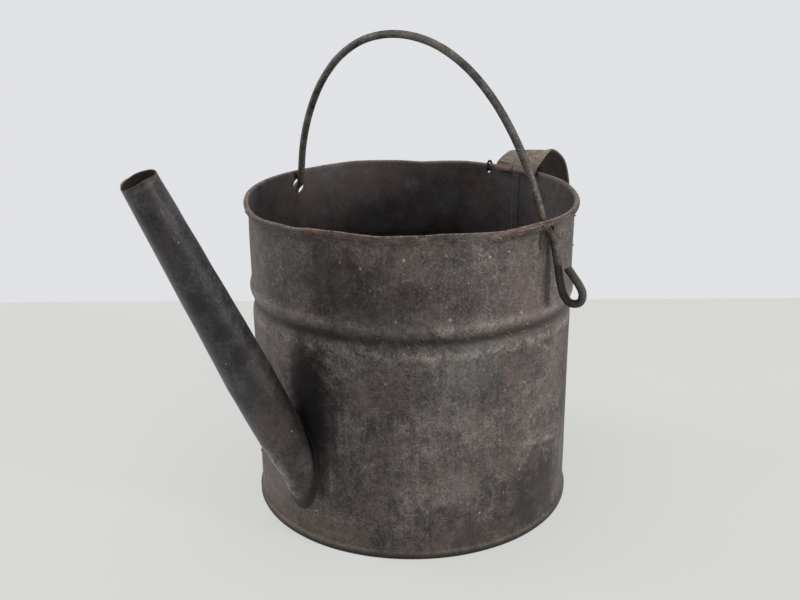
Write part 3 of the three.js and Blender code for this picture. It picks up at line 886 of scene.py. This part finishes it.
def spout_rings(around):
    """From the mouth down the outside, over the solder and up the bore, and the way from the foot."""
    lap_turn = turn_from(around, SPOUT_LAP_DEG)
    lap_half = SPOUT_LAP_WIDTH / 2
    notch = MOUTH_NOTCH * on_side(around, *NOTCH_SIDE)
    lip = MOUTH_LIP * on_side(around, *LIP_SIDE)
    mouth = SPOUT_LENGTH - MOUTH_RAGGED * (1 + ripple(41, 9, around)) - notch + lip
    root = spout_foot(around, 0.0, SPOUT_FILLET)
    rows, heights = [], []
    for part in np.linspace(0, 1, 96):
        along = mouth + (root - mouth) * part
        heights.append(along - root)
        reach = SPOUT_ROOT_RADIUS + (SPOUT_TIP_RADIUS - SPOUT_ROOT_RADIUS) * along / SPOUT_LENGTH
        from_lap = np.abs(lap_turn) * reach
        lap = SHEET * (1 - ramp(from_lap, lap_half - SPOUT_LAP_EASE, lap_half + SPOUT_LAP_EASE))
        beaten = SPOUT_BEATEN * ripple(42, 8, around, along / SPOUT_BEATEN_PITCH)
        rows.append(on_spout(
            around, along, lap * ramp(along - root, 0, 0.004) + beaten * ramp(along - root, 0, 0.02)))
    for angle in np.radians(np.linspace(12, 90, 8)):
        out = SPOUT_FILLET * (1 - np.cos(angle))
        stand_off = SPOUT_FILLET * (1 - np.sin(angle)) - SOLDER_SINK
        rows.append(on_spout(around, spout_foot(around, out, stand_off), out))
        heights.append(0 * around)
    for grow_by in (SPOUT_FILLET, -SHEET):
        rows.append(on_spout(around, spout_foot(around, grow_by, -ROOT_SINK), grow_by))
    inner_root = spout_foot(around, -SHEET, ROOT_CLEAR)
    for part in np.linspace(0, 1, 60):
        rows.append(on_spout(around, inner_root + (mouth - MOUTH_EDGE - inner_root) * part, -SHEET))
    heights += [np.full_like(around, IN_BORE)] * (len(rows) - len(heights))
    return rows, np.array(heights)


rings, above_foot = spout_rings(spout_around)
spout = smooth(shell("spout_cone", rings), 50)
solder_run = ramp(above_foot, 0.002, 0.010) * (1 - ramp(above_foot, 0.034, 0.055))
spout_marks = {
    "solder": on_side(spout_around, *SOLDER_SIDE) * solder_run,
    # A painted sheen along the underside edge
    "lightened": on_side(spout_around, *SHEEN_SIDE) * ramp(above_foot, 0.004, 0.020),
    "smut": on_side(spout_around, *SOOTY_SIDE) * (1 - ramp(above_foot, 0.020, 0.085)),
    # Painted shade on the side that faces the camera
    "front_shade": on_side(spout_around, *FRONT_SHADE_SIDE) * ramp(above_foot, 0.0, 0.030),
    # Painted shade round the foot, where it meets the wall
    "foot_shade": 1 - ramp(above_foot, 0.0010, 0.0070),
    "low": 1 - ramp(above_foot, 0.030, 0.105),
    "bore": above_foot == IN_BORE,
}
for name, values in spout_marks.items():
    mark(spout, name, values.ravel())
iron = Iron("spout_iron", shade(17, 16, 17), shade(104, 102, 103), shade(70, 64, 64), 0.15)
iron.rough = iron.rough - 0.12
# Stains: colour, distance along the spout, angle round it, half-width, half-length, strength
SPOUT_STAINS = [
    (SOOT_AND_SHADE, 0.135, 215, 0.007, 0.012, 0.8),
    (SOOT_AND_SHADE, 0.112, 250, 0.007, 0.008, 0.8),
    (SOOT_AND_SHADE, 0.094, 255, 0.007, 0.009, 0.8),
    (SOOT_AND_SHADE, 0.182, 200, 0.0022, 0.022, 0.8),
    (SOOT_AND_SHADE, 0.040, 265, 0.010, 0.026, 0.25),
    (BLUE_GREY, 0.172, 185, 0.005, 0.024, 0.20),
    (PALE_SKIN, 0.040, 225, 0.012, 0.026, 0.30),
    (TAN_DUST, 0.2025, 235, 0.014, 0.0018, 0.50),
]
SPOUT_TILT = (0, SPOUT_SLOPE - radians(90), 0)
for colour, along, around_deg, across, tall, strength in SPOUT_STAINS:
    place = on_spout(np.array([radians(around_deg)]), np.array([along]), 0.0)[0]
    mask = iron.at.patch(tuple(place), SPOUT_TILT, (across, across, tall), iron.ragged)
    iron.scuff(mask * strength, colour)
iron.tint(iron.read("low"), WARM_DYE)
# The side that faces the camera is dyed darker as painted shade.
iron.tint(iron.read("front_shade") * 0.5, SOOT_AND_SHADE_DYE)
# The underside edge is lightened as a painted sheen.
iron.scuff(iron.read("lightened") * 0.40, SHEEN_TIN)
iron.tint(iron.read("smut") * 0.9, SOOT_AND_SHADE_DYE)
# The foot is dyed dark all round as painted shade where it meets the wall.
iron.tint(iron.read("foot_shade"), SOOT_AND_SHADE_DYE)
flaked = (iron.mottle * 0.6 + iron.grain * 0.4).between(0.45, 0.55)
iron.scuff(iron.read("solder") * flaked * 0.75, CHALK)
iron.stain(iron.read("bore") * 0.8, iron.ragged.blend(DARK_BORE, PALE_BORE))
iron.scratches((0, 0.45, 0.3), 0.67, CHALK, 0.22)
iron.specks(150, 0.09, 0.60, SPOUT_FLECK, 6, 0.7)
dress(spout, iron.finish(0.3, 0.0004))
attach(spout, "can")
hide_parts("spout")

# Strap handle: a strip of sheet with its edges hemmed under, hooked over the rim at the back,
# looped out for the fingers and soldered to the wall at its foot. Its hooked end has split.
STRAP_WIDTH = 0.0355
STRAP_SHEET = 0.0009
STRAP_HEM = 0.0045
STRAP_TURN_DEG = -3.95
STRAP_TUCK = 0.0026
STRAP_CREST = 0.010
STRAP_CREST_OUT = 0.0175
STRAP_SHOULDER = 0.0315
STRAP_REACH = 0.0395
STRAP_BELLY = 0.034
STRAP_RETURN = 0.030
STRAP_HEEL = 0.0057
STRAP_DROP = 0.113
STRAP_FOOT = 0.015
STRAP_TWIST_DEG = 7
STRAP_LEAN = 0.0022
STRAP_TAPER = 0.0055
STRAP_LIFT = 0.001
STRAP_LIFT_WIDTH = 0.008
STRAP_LIFT_DEPTH = 0.020
STRAP_FIT = 0.0003
STRAP_BEATEN = 0.0004
HEM_STEP = 0.0002
# The split in the hooked end: where it is across the strap, its half-width, how far in from the
# drum's face it starts and ends, how far below and above the rim, and how far it leans
SPLIT_ACROSS = 0.0032
SPLIT_HALF = 0.0004
SPLIT_IN = (0.0005, 0.0060)
SPLIT_BELOW = 0.0050
SPLIT_ABOVE = 0.0012
SPLIT_LEAN = 0.0006


def bent_line(points, steps):
    """A smooth line through given points, with even steps between each two."""
    points = np.asarray(points, float)
    points = np.vstack([2 * points[0] - points[1], points, 2 * points[-1] - points[-2]])
    line = []
    for a, b, c, d in zip(points, points[1:], points[2:], points[3:]):
        first, second, third = (np.linalg.norm(q - p) ** 0.5 for p, q in ((a, b), (b, c), (c, d)))
        leave = ((b - a) / first - (c - a) / (first + second) + (c - b) / second) * second
        arrive = ((c - b) / second - (d - b) / (second + third) + (d - c) / third) * second
        for t in np.linspace(0, 1, steps, endpoint=False):
            line.append((2 * t**3 - 3 * t**2 + 1) * b + (t**3 - 2 * t**2 + t) * leave
                        + (3 * t**2 - 2 * t**3) * c + (t**3 - t**2) * arrive)
    line.append(points[-2])
    return np.array(line)


def strap_section():
    """(across, depth) round the strip: a rounded fold at each edge and the hem lying under it."""
    edge = STRAP_WIDTH / 2
    fold = STRAP_SHEET
    hem = edge - STRAP_HEM
    fold_turns = np.radians(np.linspace(0, 180, 8))
    right = [(edge - fold + fold * np.sin(a), fold - fold * np.cos(a)) for a in fold_turns]
    right += [(hem, 2 * fold), (hem - HEM_STEP, fold)]
    top = [(across, 0.0) for across in np.linspace(-edge + fold, edge - fold, 16)[1:-1]]
    left = [(-across, depth) for across, depth in reversed(right)]
    under = [(across, fold) for across in np.linspace(hem - HEM_STEP, -hem + HEM_STEP, 12)[1:-1]]
    return np.array(top + right + under + left)


def strap_line():
    """The strap's outer face, as distance out from the drum's face and height above the rim."""
    thick = 2 * STRAP_SHEET + STRAP_FIT
    inside = -SHEET - STRAP_FIT - (SEAM_PROUD + STRAP_SHEET + STRAP_FIT)
    on_foot = thick + STRAP_FIT
    foot_top = STRAP_FOOT - STRAP_DROP
    return bent_line([
        (inside, -STRAP_TUCK), (inside, -STRAP_TUCK / 3), (-CURL_INNER, thick + 2 * STRAP_FIT),
        (0.44 * STRAP_CREST_OUT, 0.77 * STRAP_CREST), (STRAP_CREST_OUT, STRAP_CREST), (STRAP_SHOULDER, 0.0),
        (STRAP_REACH, -STRAP_BELLY), (STRAP_RETURN, (foot_top - STRAP_BELLY) / 2),
        (on_foot + STRAP_HEEL, foot_top + STRAP_FOOT / 2), (on_foot + STRAP_SHEET, foot_top),
        (on_foot, foot_top - STRAP_FOOT / 3), (on_foot, -STRAP_DROP),
    ], 14)


def strap_rings(section):
    """The section carried along the strap's line, dished to the drum, leaned, tipped and narrowed."""
    line = strap_line()
    way = np.gradient(line, axis=0)
    way /= np.linalg.norm(way, axis=1, keepdims=True)
    across = section[:, 0]
    from_edge = across + STRAP_WIDTH / 2
    sprung = STRAP_LIFT * (1 - ramp(from_edge, 0, STRAP_LIFT_WIDTH))
    rows = []
    for step, ((out, up), (ahead, climb)) in enumerate(zip(line, way)):
        uneven = STRAP_BEATEN * ripple(51, 6, across / 0.006, np.full_like(across, step * 0.06))
        depth = section[:, 1] + uneven * ramp(out, 0.004, 0.012)
        beyond = out + climb * depth
        level = up - ahead * depth
        free = ramp(beyond, 0, STRAP_CREST_OUT)
        grip = ramp(beyond, STRAP_CREST_OUT, STRAP_SHOULDER)
        x = beyond + np.sqrt(DRUM_RADIUS**2 - across**2)
        y = across + STRAP_LEAN * free - STRAP_TAPER * grip * from_edge / STRAP_WIDTH
        z = RIM_HEIGHT + level + sprung * ramp(level, -STRAP_LIFT_DEPTH, 0)
        z = z - np.tan(radians(STRAP_TWIST_DEG)) * free * across
        rows.append(np.stack([x, y, z], axis=-1))
    return np.asarray(rows)


def turned(points, angle_deg):
    """Points turned about the drum's axis."""
    turn = radians(angle_deg)
    return points @ np.array([[np.cos(turn), np.sin(turn), 0], [-np.sin(turn), np.cos(turn), 0], [0, 0, 1]])


section = strap_section()
rings = strap_rings(section)
strap = plug("strap", turned(rings, STRAP_TURN_DEG))
mark(strap, "under", np.tile(section[:, 1] > STRAP_SHEET / 2, len(rings)))
near_face, far_face = (DRUM_RADIUS - inward for inward in SPLIT_IN)
left_edge, right_edge = SPLIT_ACROSS - SPLIT_HALF, SPLIT_ACROSS + SPLIT_HALF
outline = ((far_face, left_edge), (far_face, right_edge), (near_face, right_edge), (near_face, left_edge))
split = [[(x, y + lean, RIM_HEIGHT + up) for x, y in outline]
         for up, lean in ((-SPLIT_BELOW, 0.0), (SPLIT_ABOVE, SPLIT_LEAN))]
cut(strap, [plug("split", turned(np.array(split), STRAP_TURN_DEG))])
smooth(strap, 50)
iron = Iron("strap_iron", shade(40, 33, 28), shade(206, 188, 166), shade(118, 98, 80), 0.1)
# The tucked end, inside the rim, is red with rust and sooty along its fold. The underside is darkened as
# painted shade.
past_rim = DRUM_RADIUS - iron.at.part("X")
iron.stain(past_rim.between(0.0014, 0.0024) * 0.6, RED_RUST)
iron.stain(past_rim.near(0.0016, 0.0013) * iron.ragged.between(0.46, 0.54) * 0.9, SOOT_AND_SHADE)
iron.specks(200, 0.12, 0.12, shade(170, 160, 148), 7, 0.6)
iron.stain(iron.read("under") * 0.85, iron.ragged.blend(shade(26, 24, 25), shade(58, 53, 53)))
dress(strap, iron.finish(0.2, 0.0004))
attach(strap, "can")
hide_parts("strap_handle")

# Tie wire: a twist of thin iron wire through a small hole under the rim, beside the strap, with
# its two ends nipped off short.
TIE_WIRE = 0.0015
TIE_GAP = 0.0003
TIE_LOOP = CURL_OUTER + TIE_GAP + TIE_WIRE / 2
TIE_STUB = 0.0014
TIE_SHORT_STUB = 0.8 * TIE_STUB
TIE_SPREAD_DEG = 12
TIE_CROSSING = 0.0006


def tie_line():
    turns = np.radians(np.linspace(90 - TIE_SPREAD_DEG, TIE_SPREAD_DEG - 270, 25))
    out = DRUM_RADIUS + CURL_INNER + TIE_LOOP * np.cos(turns)
    up = RIM_HEIGHT - CURL_OUTER + TIE_LOOP * np.sin(turns)
    points = np.stack([out, np.linspace(-TIE_CROSSING, TIE_CROSSING, len(turns)), up], axis=-1)
    first = points[0] + (-0.0003, 0.0002, TIE_STUB)
    last = points[-1] + (0.0002, -0.0003, TIE_SHORT_STUB)
    return bent_line(turned(np.vstack([first, points, last]), TIE_BEARING_DEG), 3)


iron = Iron("tie_wire_iron", shade(16, 14, 14), shade(84, 74, 68), shade(70, 54, 46), 0.1)
tie = grow("tie", line_mesh("tie", [tie_line()]), WIRE_TREE, {
    "Diameter": TIE_WIRE, "Sides": 12, "Wear": 0.3, "Seed": 5.0, "Finish": iron.finish(0.3, 0.0003)})
smooth(tie, 40)
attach(tie, "can")
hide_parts("tie_wire")

# Bail: one length of stout iron wire bent to an arch, with a hook outside the wall at each end. It
# stands in the two holes under the rim, worn smooth where it is held and rusted where it rubs.
BAIL_WIRE = 0.0046
BAIL_LEAN_DEG = 5
BAIL_RISE = 0.104
BAIL_SHOULDER = 0.056
BAIL_LEG = 0.052
BAIL_SPLAY = 0.013
BAIL_SWAY = 0.0022
HOOK_DEPTH = 0.040
HOOK_OUT = 0.022
HOOK_BEND = 0.0063
HOOK_TAIL = 0.0188
HOOK_TAIL_IN = 0.0098
PIVOT_RADIUS = 0.005
WALL_MIDDLE = DRUM_RADIUS - SHEET / 2
# Heights from the pivot: where the rubbed rust starts, is full and ends, and where the hook is dark
RUB_START = -0.012
RUB_FULL = 0.006
RUB_END = 0.016
HOOK_DARK = -0.026


def bail_half(sway):
    """(reach, height) from the tail of a hook to the top of the arch."""
    neck = PIVOT_RADIUS / 2
    centre = np.array([WALL_MIDDLE + HOOK_OUT - HOOK_BEND, HOOK_BEND - HOOK_DEPTH])
    bend = np.radians(np.linspace(15, -165, 4))
    hook = centre + HOOK_BEND * np.stack([np.cos(bend), np.sin(bend)], axis=1)
    corners = np.array([
        (WALL_MIDDLE - neck * 1.6, neck * 3), (WALL_MIDDLE - BAIL_SPLAY + sway, BAIL_LEG),
        (BAIL_SHOULDER + sway, BAIL_RISE), (sway, BAIL_RISE),
    ])
    t = np.linspace(0, 1, 7)[:, None]
    arch = ((1 - t) ** 3 * corners[0] + 3 * t * (1 - t) ** 2 * corners[1]
            + 3 * t**2 * (1 - t) * corners[2] + t**3 * corners[3])
    tail = [(WALL_MIDDLE + HOOK_OUT - HOOK_TAIL_IN, -HOOK_TAIL)]
    throat = [(WALL_MIDDLE + neck, -neck), (WALL_MIDDLE - neck, neck)]
    return np.vstack([tail, hook, throat, arch])


def bail_line():
    front = bail_half(-BAIL_SWAY)
    rear = bail_half(BAIL_SWAY)[::-1][1:]
    across = np.concatenate([-front[:, 0], rear[:, 0]])
    up = np.concatenate([front[:, 1], rear[:, 1]])
    line = bent_line(np.stack([np.zeros_like(up), across, up], axis=-1), 12)
    lean = np.array(Matrix.Rotation(-radians(BAIL_LEAN_DEG), 3, "Y"))
    return turned(line @ lean.T, BAIL_TURN_DEG) + (0, 0, PIVOT_HEIGHT)


iron = Iron("bail_wire_iron", shade(24, 22, 22), shade(140, 135, 129), shade(90, 80, 74), 0.1)
above_pivot = iron.at.part("Z") - PIVOT_HEIGHT
iron.scuff(above_pivot.between(RUB_START, 0.0) * above_pivot.between(RUB_END, RUB_FULL) * 0.45, RED_RUST)
iron.stain(above_pivot.between(0.0, HOOK_DARK) * 0.5, shade(42, 36, 33))
bail = grow("bail", line_mesh("bail", [bail_line()]), WIRE_TREE, {
    "Diameter": BAIL_WIRE, "Sides": 24, "Wear": 0.08, "Seed": 2.0, "Finish": iron.finish(0.5, 0.0002)})
smooth(bail, 40)
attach(bail, "bail")
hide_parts("bail_handle")

# Rust crumbs: scale that has flaked up along the torn lip of the front bail hole and under the
# curl of the rim, and a few burrs on the wall. They are the drum's own rust and sit on its sheet.


def crumb_tree():
    """Strews rough little lumps along the edges of a mesh line."""
    start, given = geometry_tree("strewn_crumbs", {
        "Count": "NodeSocketInt", "Smallest": "NodeSocketFloat", "Largest": "NodeSocketFloat",
        "Scatter": "NodeSocketFloat", "Seed": "NodeSocketInt",
    })

    def chance(low, high, seed):
        return start.node(
            "FunctionNodeRandomValue", {"data_type": "FLOAT_VECTOR"}, {0: low, 1: high, 8: seed})

    path = start.node("GeometryNodeMeshToCurve", {}, {"Mesh": given["Line"]})
    spots = start.node(
        "GeometryNodeCurveToPoints", {"mode": "COUNT"}, {"Curve": path, "Count": given["Count"]})
    offset = chance(given["Scatter"] * -1.0, given["Scatter"], given["Seed"])
    strewn = start.node("GeometryNodeSetPosition", {}, {"Geometry": spots, "Offset": offset})
    lump = start.node("GeometryNodeMeshIcoSphere", {}, {"Radius": 1.0, "Subdivisions": 1})
    crumbs = start.node("GeometryNodeInstanceOnPoints", {}, {
        "Points": strewn, "Instance": lump, "Rotation": chance((0, 0, 0), (6, 6, 6), given["Seed"] + 1),
        "Scale": chance(given["Smallest"], given["Largest"], given["Seed"] + 2)})
    return finished_tree(crumbs, given["Finish"])


def wall_line(spots, steps):
    """A line over the wall's face through (bearing in degrees, height, how far out) spots."""
    spots = np.asarray(spots, float)
    at = np.linspace(0, len(spots) - 1, (len(spots) - 1) * steps + 1)
    bearing, height, out = (np.interp(at, np.arange(len(spots)), values) for values in spots.T)
    bearing = np.radians(bearing)
    reach = DRUM_RADIUS + out * round_drum(bearing, CURL_LEFT) + wall_out(bearing, height)
    return np.stack([reach * np.cos(bearing), reach * np.sin(bearing), height], axis=-1)


# The torn lip of the front hole: bearing in degrees, height, how far out from the wall
TORN_TOP = [
    (-91.3, 0.1928, 0.0028), (-89.8, 0.1920, 0.0028), (-88.1, 0.1916, 0.0024), (-86.2, 0.1915, 0.0020),
]
TORN_RIGHT = [(-83.4, 0.1868, 0.0004), (-81.1, 0.1830, 0.0002), (-78.1, 0.1800, 0.0002)]
TORN_LEFT = [(-89.0, 0.1889, -0.0003), (-89.3, 0.1849, -0.0003), (-90.1, 0.1812, 0.0), (-90.4, 0.1772, 0.0)]
TORN_ENDS = [[(-81.4, 0.1833, 0.0), (-77.8, 0.1798, 0.0)], [(-90.1, 0.1818, 0.0), (-90.5, 0.1762, 0.0)]]
UNDER_CURL = 0.0050
CRUMB_TREE = crumb_tree()
iron = Iron("rust_crumbs", shade(24, 18, 16), shade(172, 146, 126), shade(98, 74, 60), 0.0)
rust = iron.finish(0.1, 0.0003)


def under_curl(start, end):
    """A line of the corner under the curl, from one bearing in degrees to another."""
    stops = np.linspace(start, end, 5)
    heights = RIM_HEIGHT - UNDER_CURL + rim_line(np.radians(stops))
    return wall_line([(stop, height, lip_out(UNDER_CURL)) for stop, height in zip(stops, heights)], 4)


under_rim = [under_curl(*run) for run in ((-164, -150), (-148, -133), (-112, -96), (40, 66), (120, 150))]
burrs = [wall_line([(bearing, height, 0.0), (bearing + 0.5, height - 0.0006, 0.0)], 2)
         for bearing, height in ((-55, 0.184), (-52, 0.164), (139, 0.025), (-100, 0.075))]
# Each run: its name, its lines, how many crumbs, the smallest and largest, how far strewn, its seed
crumb_runs = [
    ("torn_top_crumbs", [wall_line(TORN_TOP, 4)], 44, 0.00035, 0.00095, 0.0007, 11),
    ("torn_right_crumbs", [wall_line(TORN_RIGHT, 4)], 30, 0.00030, 0.00070, 0.0003, 15),
    ("torn_left_crumbs", [wall_line(TORN_LEFT, 4)], 60, 0.00025, 0.00050, 0.0004, 14),
    ("torn_end_crumbs", [wall_line(ends, 6) for ends in TORN_ENDS], 26, 0.00040, 0.00090, 0.0005, 16),
    ("rim_crumbs", under_rim, 24, 0.00015, 0.00060, 0.0006, 12),
    ("burrs", burrs, 4, 0.0003, 0.0008, 0.0003, 13),
]
for name, lines, count, smallest, largest, scatter, seed in crumb_runs:
    crumbs = grow(name, line_mesh(name, lines), CRUMB_TREE, {
        "Count": count, "Smallest": smallest, "Largest": largest, "Scatter": scatter,
        "Seed": seed, "Finish": rust})
    smooth(crumbs, 60)
    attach(crumbs, "can")

# Stage: a pale table under soft light from both sides and above, with a pale wall beyond its edge.
# What the camera sees of it is evened out, as under a bright ceiling, but keeps the can's shadow.
VIEW_TURN_DEG = -46.5
VIEW_TURN = Matrix.Rotation(radians(VIEW_TURN_DEG), 4, "Z")
TABLE_PAINT = (0.80, 0.795, 0.78, 1.0)
TABLE_SPECKLE = (0.76, 0.755, 0.74, 1.0)
TABLE_SEEN = (0.700, 0.698, 0.684, 1.0)
WALL_SEEN = (0.757, 0.763, 0.785, 1.0)
TABLE_FAR_EDGE = 0.370
TABLE_EDGE_EASE = 0.002
TABLE_HALF = 3.0


def seen_directly(start):
    """1 for the camera and for what gloss or glass shows of the room."""
    def ray(name):
        return start.node("ShaderNodeLightPath", {}, {}, name)
    return ray("Is Camera Ray").most(ray("Is Glossy Ray")).most(ray("Is Transmission Ray"))


def table_paint():
    material = bpy.data.materials.new("table_paint")
    material.use_nodes = True
    tree = material.node_tree
    surface = tree.nodes["Principled BSDF"]
    surface.inputs["Roughness"].default_value = 0.6
    at = Tone(tree).node("ShaderNodeTexCoord", {}, {}, "Object")
    speckle = (at.noise(9, 3) * 0.5 + at.noise(160, 3) * 0.3).between(0.2, 0.7)
    tree.links.new(speckle.blend(TABLE_PAINT, TABLE_SPECKLE).socket, surface.inputs["Base Color"])
    distance = at.stretched((1, 1, 1), turn=(0, 0, -radians(VIEW_TURN_DEG))).part("Y")
    beyond = distance.between(TABLE_FAR_EDGE - TABLE_EDGE_EASE, TABLE_FAR_EDGE + TABLE_EDGE_EASE)
    glow = beyond.blend(TABLE_SEEN, WALL_SEEN)
    evened = at.node("ShaderNodeEmission", {}, {"Color": glow, "Strength": 1.0})
    share = seen_directly(at) * (0.75 + beyond * 0.25)
    mixed = at.node("ShaderNodeMixShader", {}, {0: share, 1: Tone(tree, surface.outputs[0]), 2: evened})
    tree.links.new(mixed.socket, tree.nodes["Material Output"].inputs["Surface"])
    return material


def table():
    square = ((-1, -1), (1, -1), (1, 1), (-1, 1))
    corners = [VIEW_TURN @ Matrix.Translation((x * TABLE_HALF, y * TABLE_HALF, 0)) for x, y in square]
    mesh = bpy.data.meshes.new("table")
    mesh.from_pydata([corner.translation for corner in corners], [], [(0, 1, 2, 3)])
    mesh.materials.append(table_paint())
    piece = placed("table", mesh)


def room_light(strength):
    world = bpy.data.worlds.new("room")
    bpy.context.scene.world = world
    world.use_nodes = True
    tree = world.node_tree
    tree.nodes.clear()
    start = Tone(tree)
    dim = start.node("ShaderNodeBackground", {}, {"Color": (0.95, 0.97, 1.0, 1.0), "Strength": strength})
    wall = start.node("ShaderNodeBackground", {}, {"Color": WALL_SEEN, "Strength": 1.0})
    mixed = start.node("ShaderNodeMixShader", {}, {0: seen_directly(start), 1: dim, 2: wall})
    start.node("ShaderNodeOutputWorld", {}, {"Surface": mixed}, None)


def soft_light(name, place, aim, size, power, tint):
    data = bpy.data.lights.new(name, "AREA")
    data.shape = "RECTANGLE"
    data.size, data.size_y = size
    data.energy = power
    data.color = tint
    lamp = placed(name, data)
    stand = VIEW_TURN @ Matrix.Translation(place)
    target = VIEW_TURN @ Matrix.Translation(aim)
    toward = (target.translation - stand.translation).to_track_quat("-Z", "Y")
    lamp.matrix_world = Matrix.Translation(stand.translation) @ toward.to_matrix().to_4x4()


table()
room_light(0.28)
soft_light("overhead", (0.0, -0.10, 1.6), (0, 0, 0.1), (1.3, 1.1), 9.5, (1.0, 0.99, 0.97))
soft_light("left_window", (-1.4, 0.20, 0.80), (0, 0, 0.12), (0.7, 0.9), 9.0, (0.97, 0.98, 1.0))
soft_light("right_window", (1.30, -0.75, 0.38), (0, 0, 0.12), (0.28, 0.36), 13.5, (1.0, 0.98, 0.95))

# Camera: a short lens above the rim, looking down at the can's front from the spout's side. Its place
# is given with the view's turn undone, and its tilt, pan and roll in radians.
LENS = 44.99
CAMERA_PLACE = (0, -0.60344, 0.32993)
CAMERA_PITCH = 0.3266
CAMERA_PAN = -0.0120
CAMERA_ROLL = -0.0089
camera_data = bpy.data.cameras.new("camera")
camera_data.lens = LENS
camera_data.sensor_width = 36
camera = placed("camera", camera_data)
camera.matrix_world = (
    VIEW_TURN @ Matrix.Translation(CAMERA_PLACE) @ Matrix.Rotation(-CAMERA_PAN, 4, "Z")
    @ Matrix.Rotation(radians(90) - CAMERA_PITCH, 4, "X") @ Matrix.Rotation(CAMERA_ROLL, 4, "Z"))
bpy.context.scene.camera = camera
bpy.context.scene.view_settings.view_transform = "Standard"
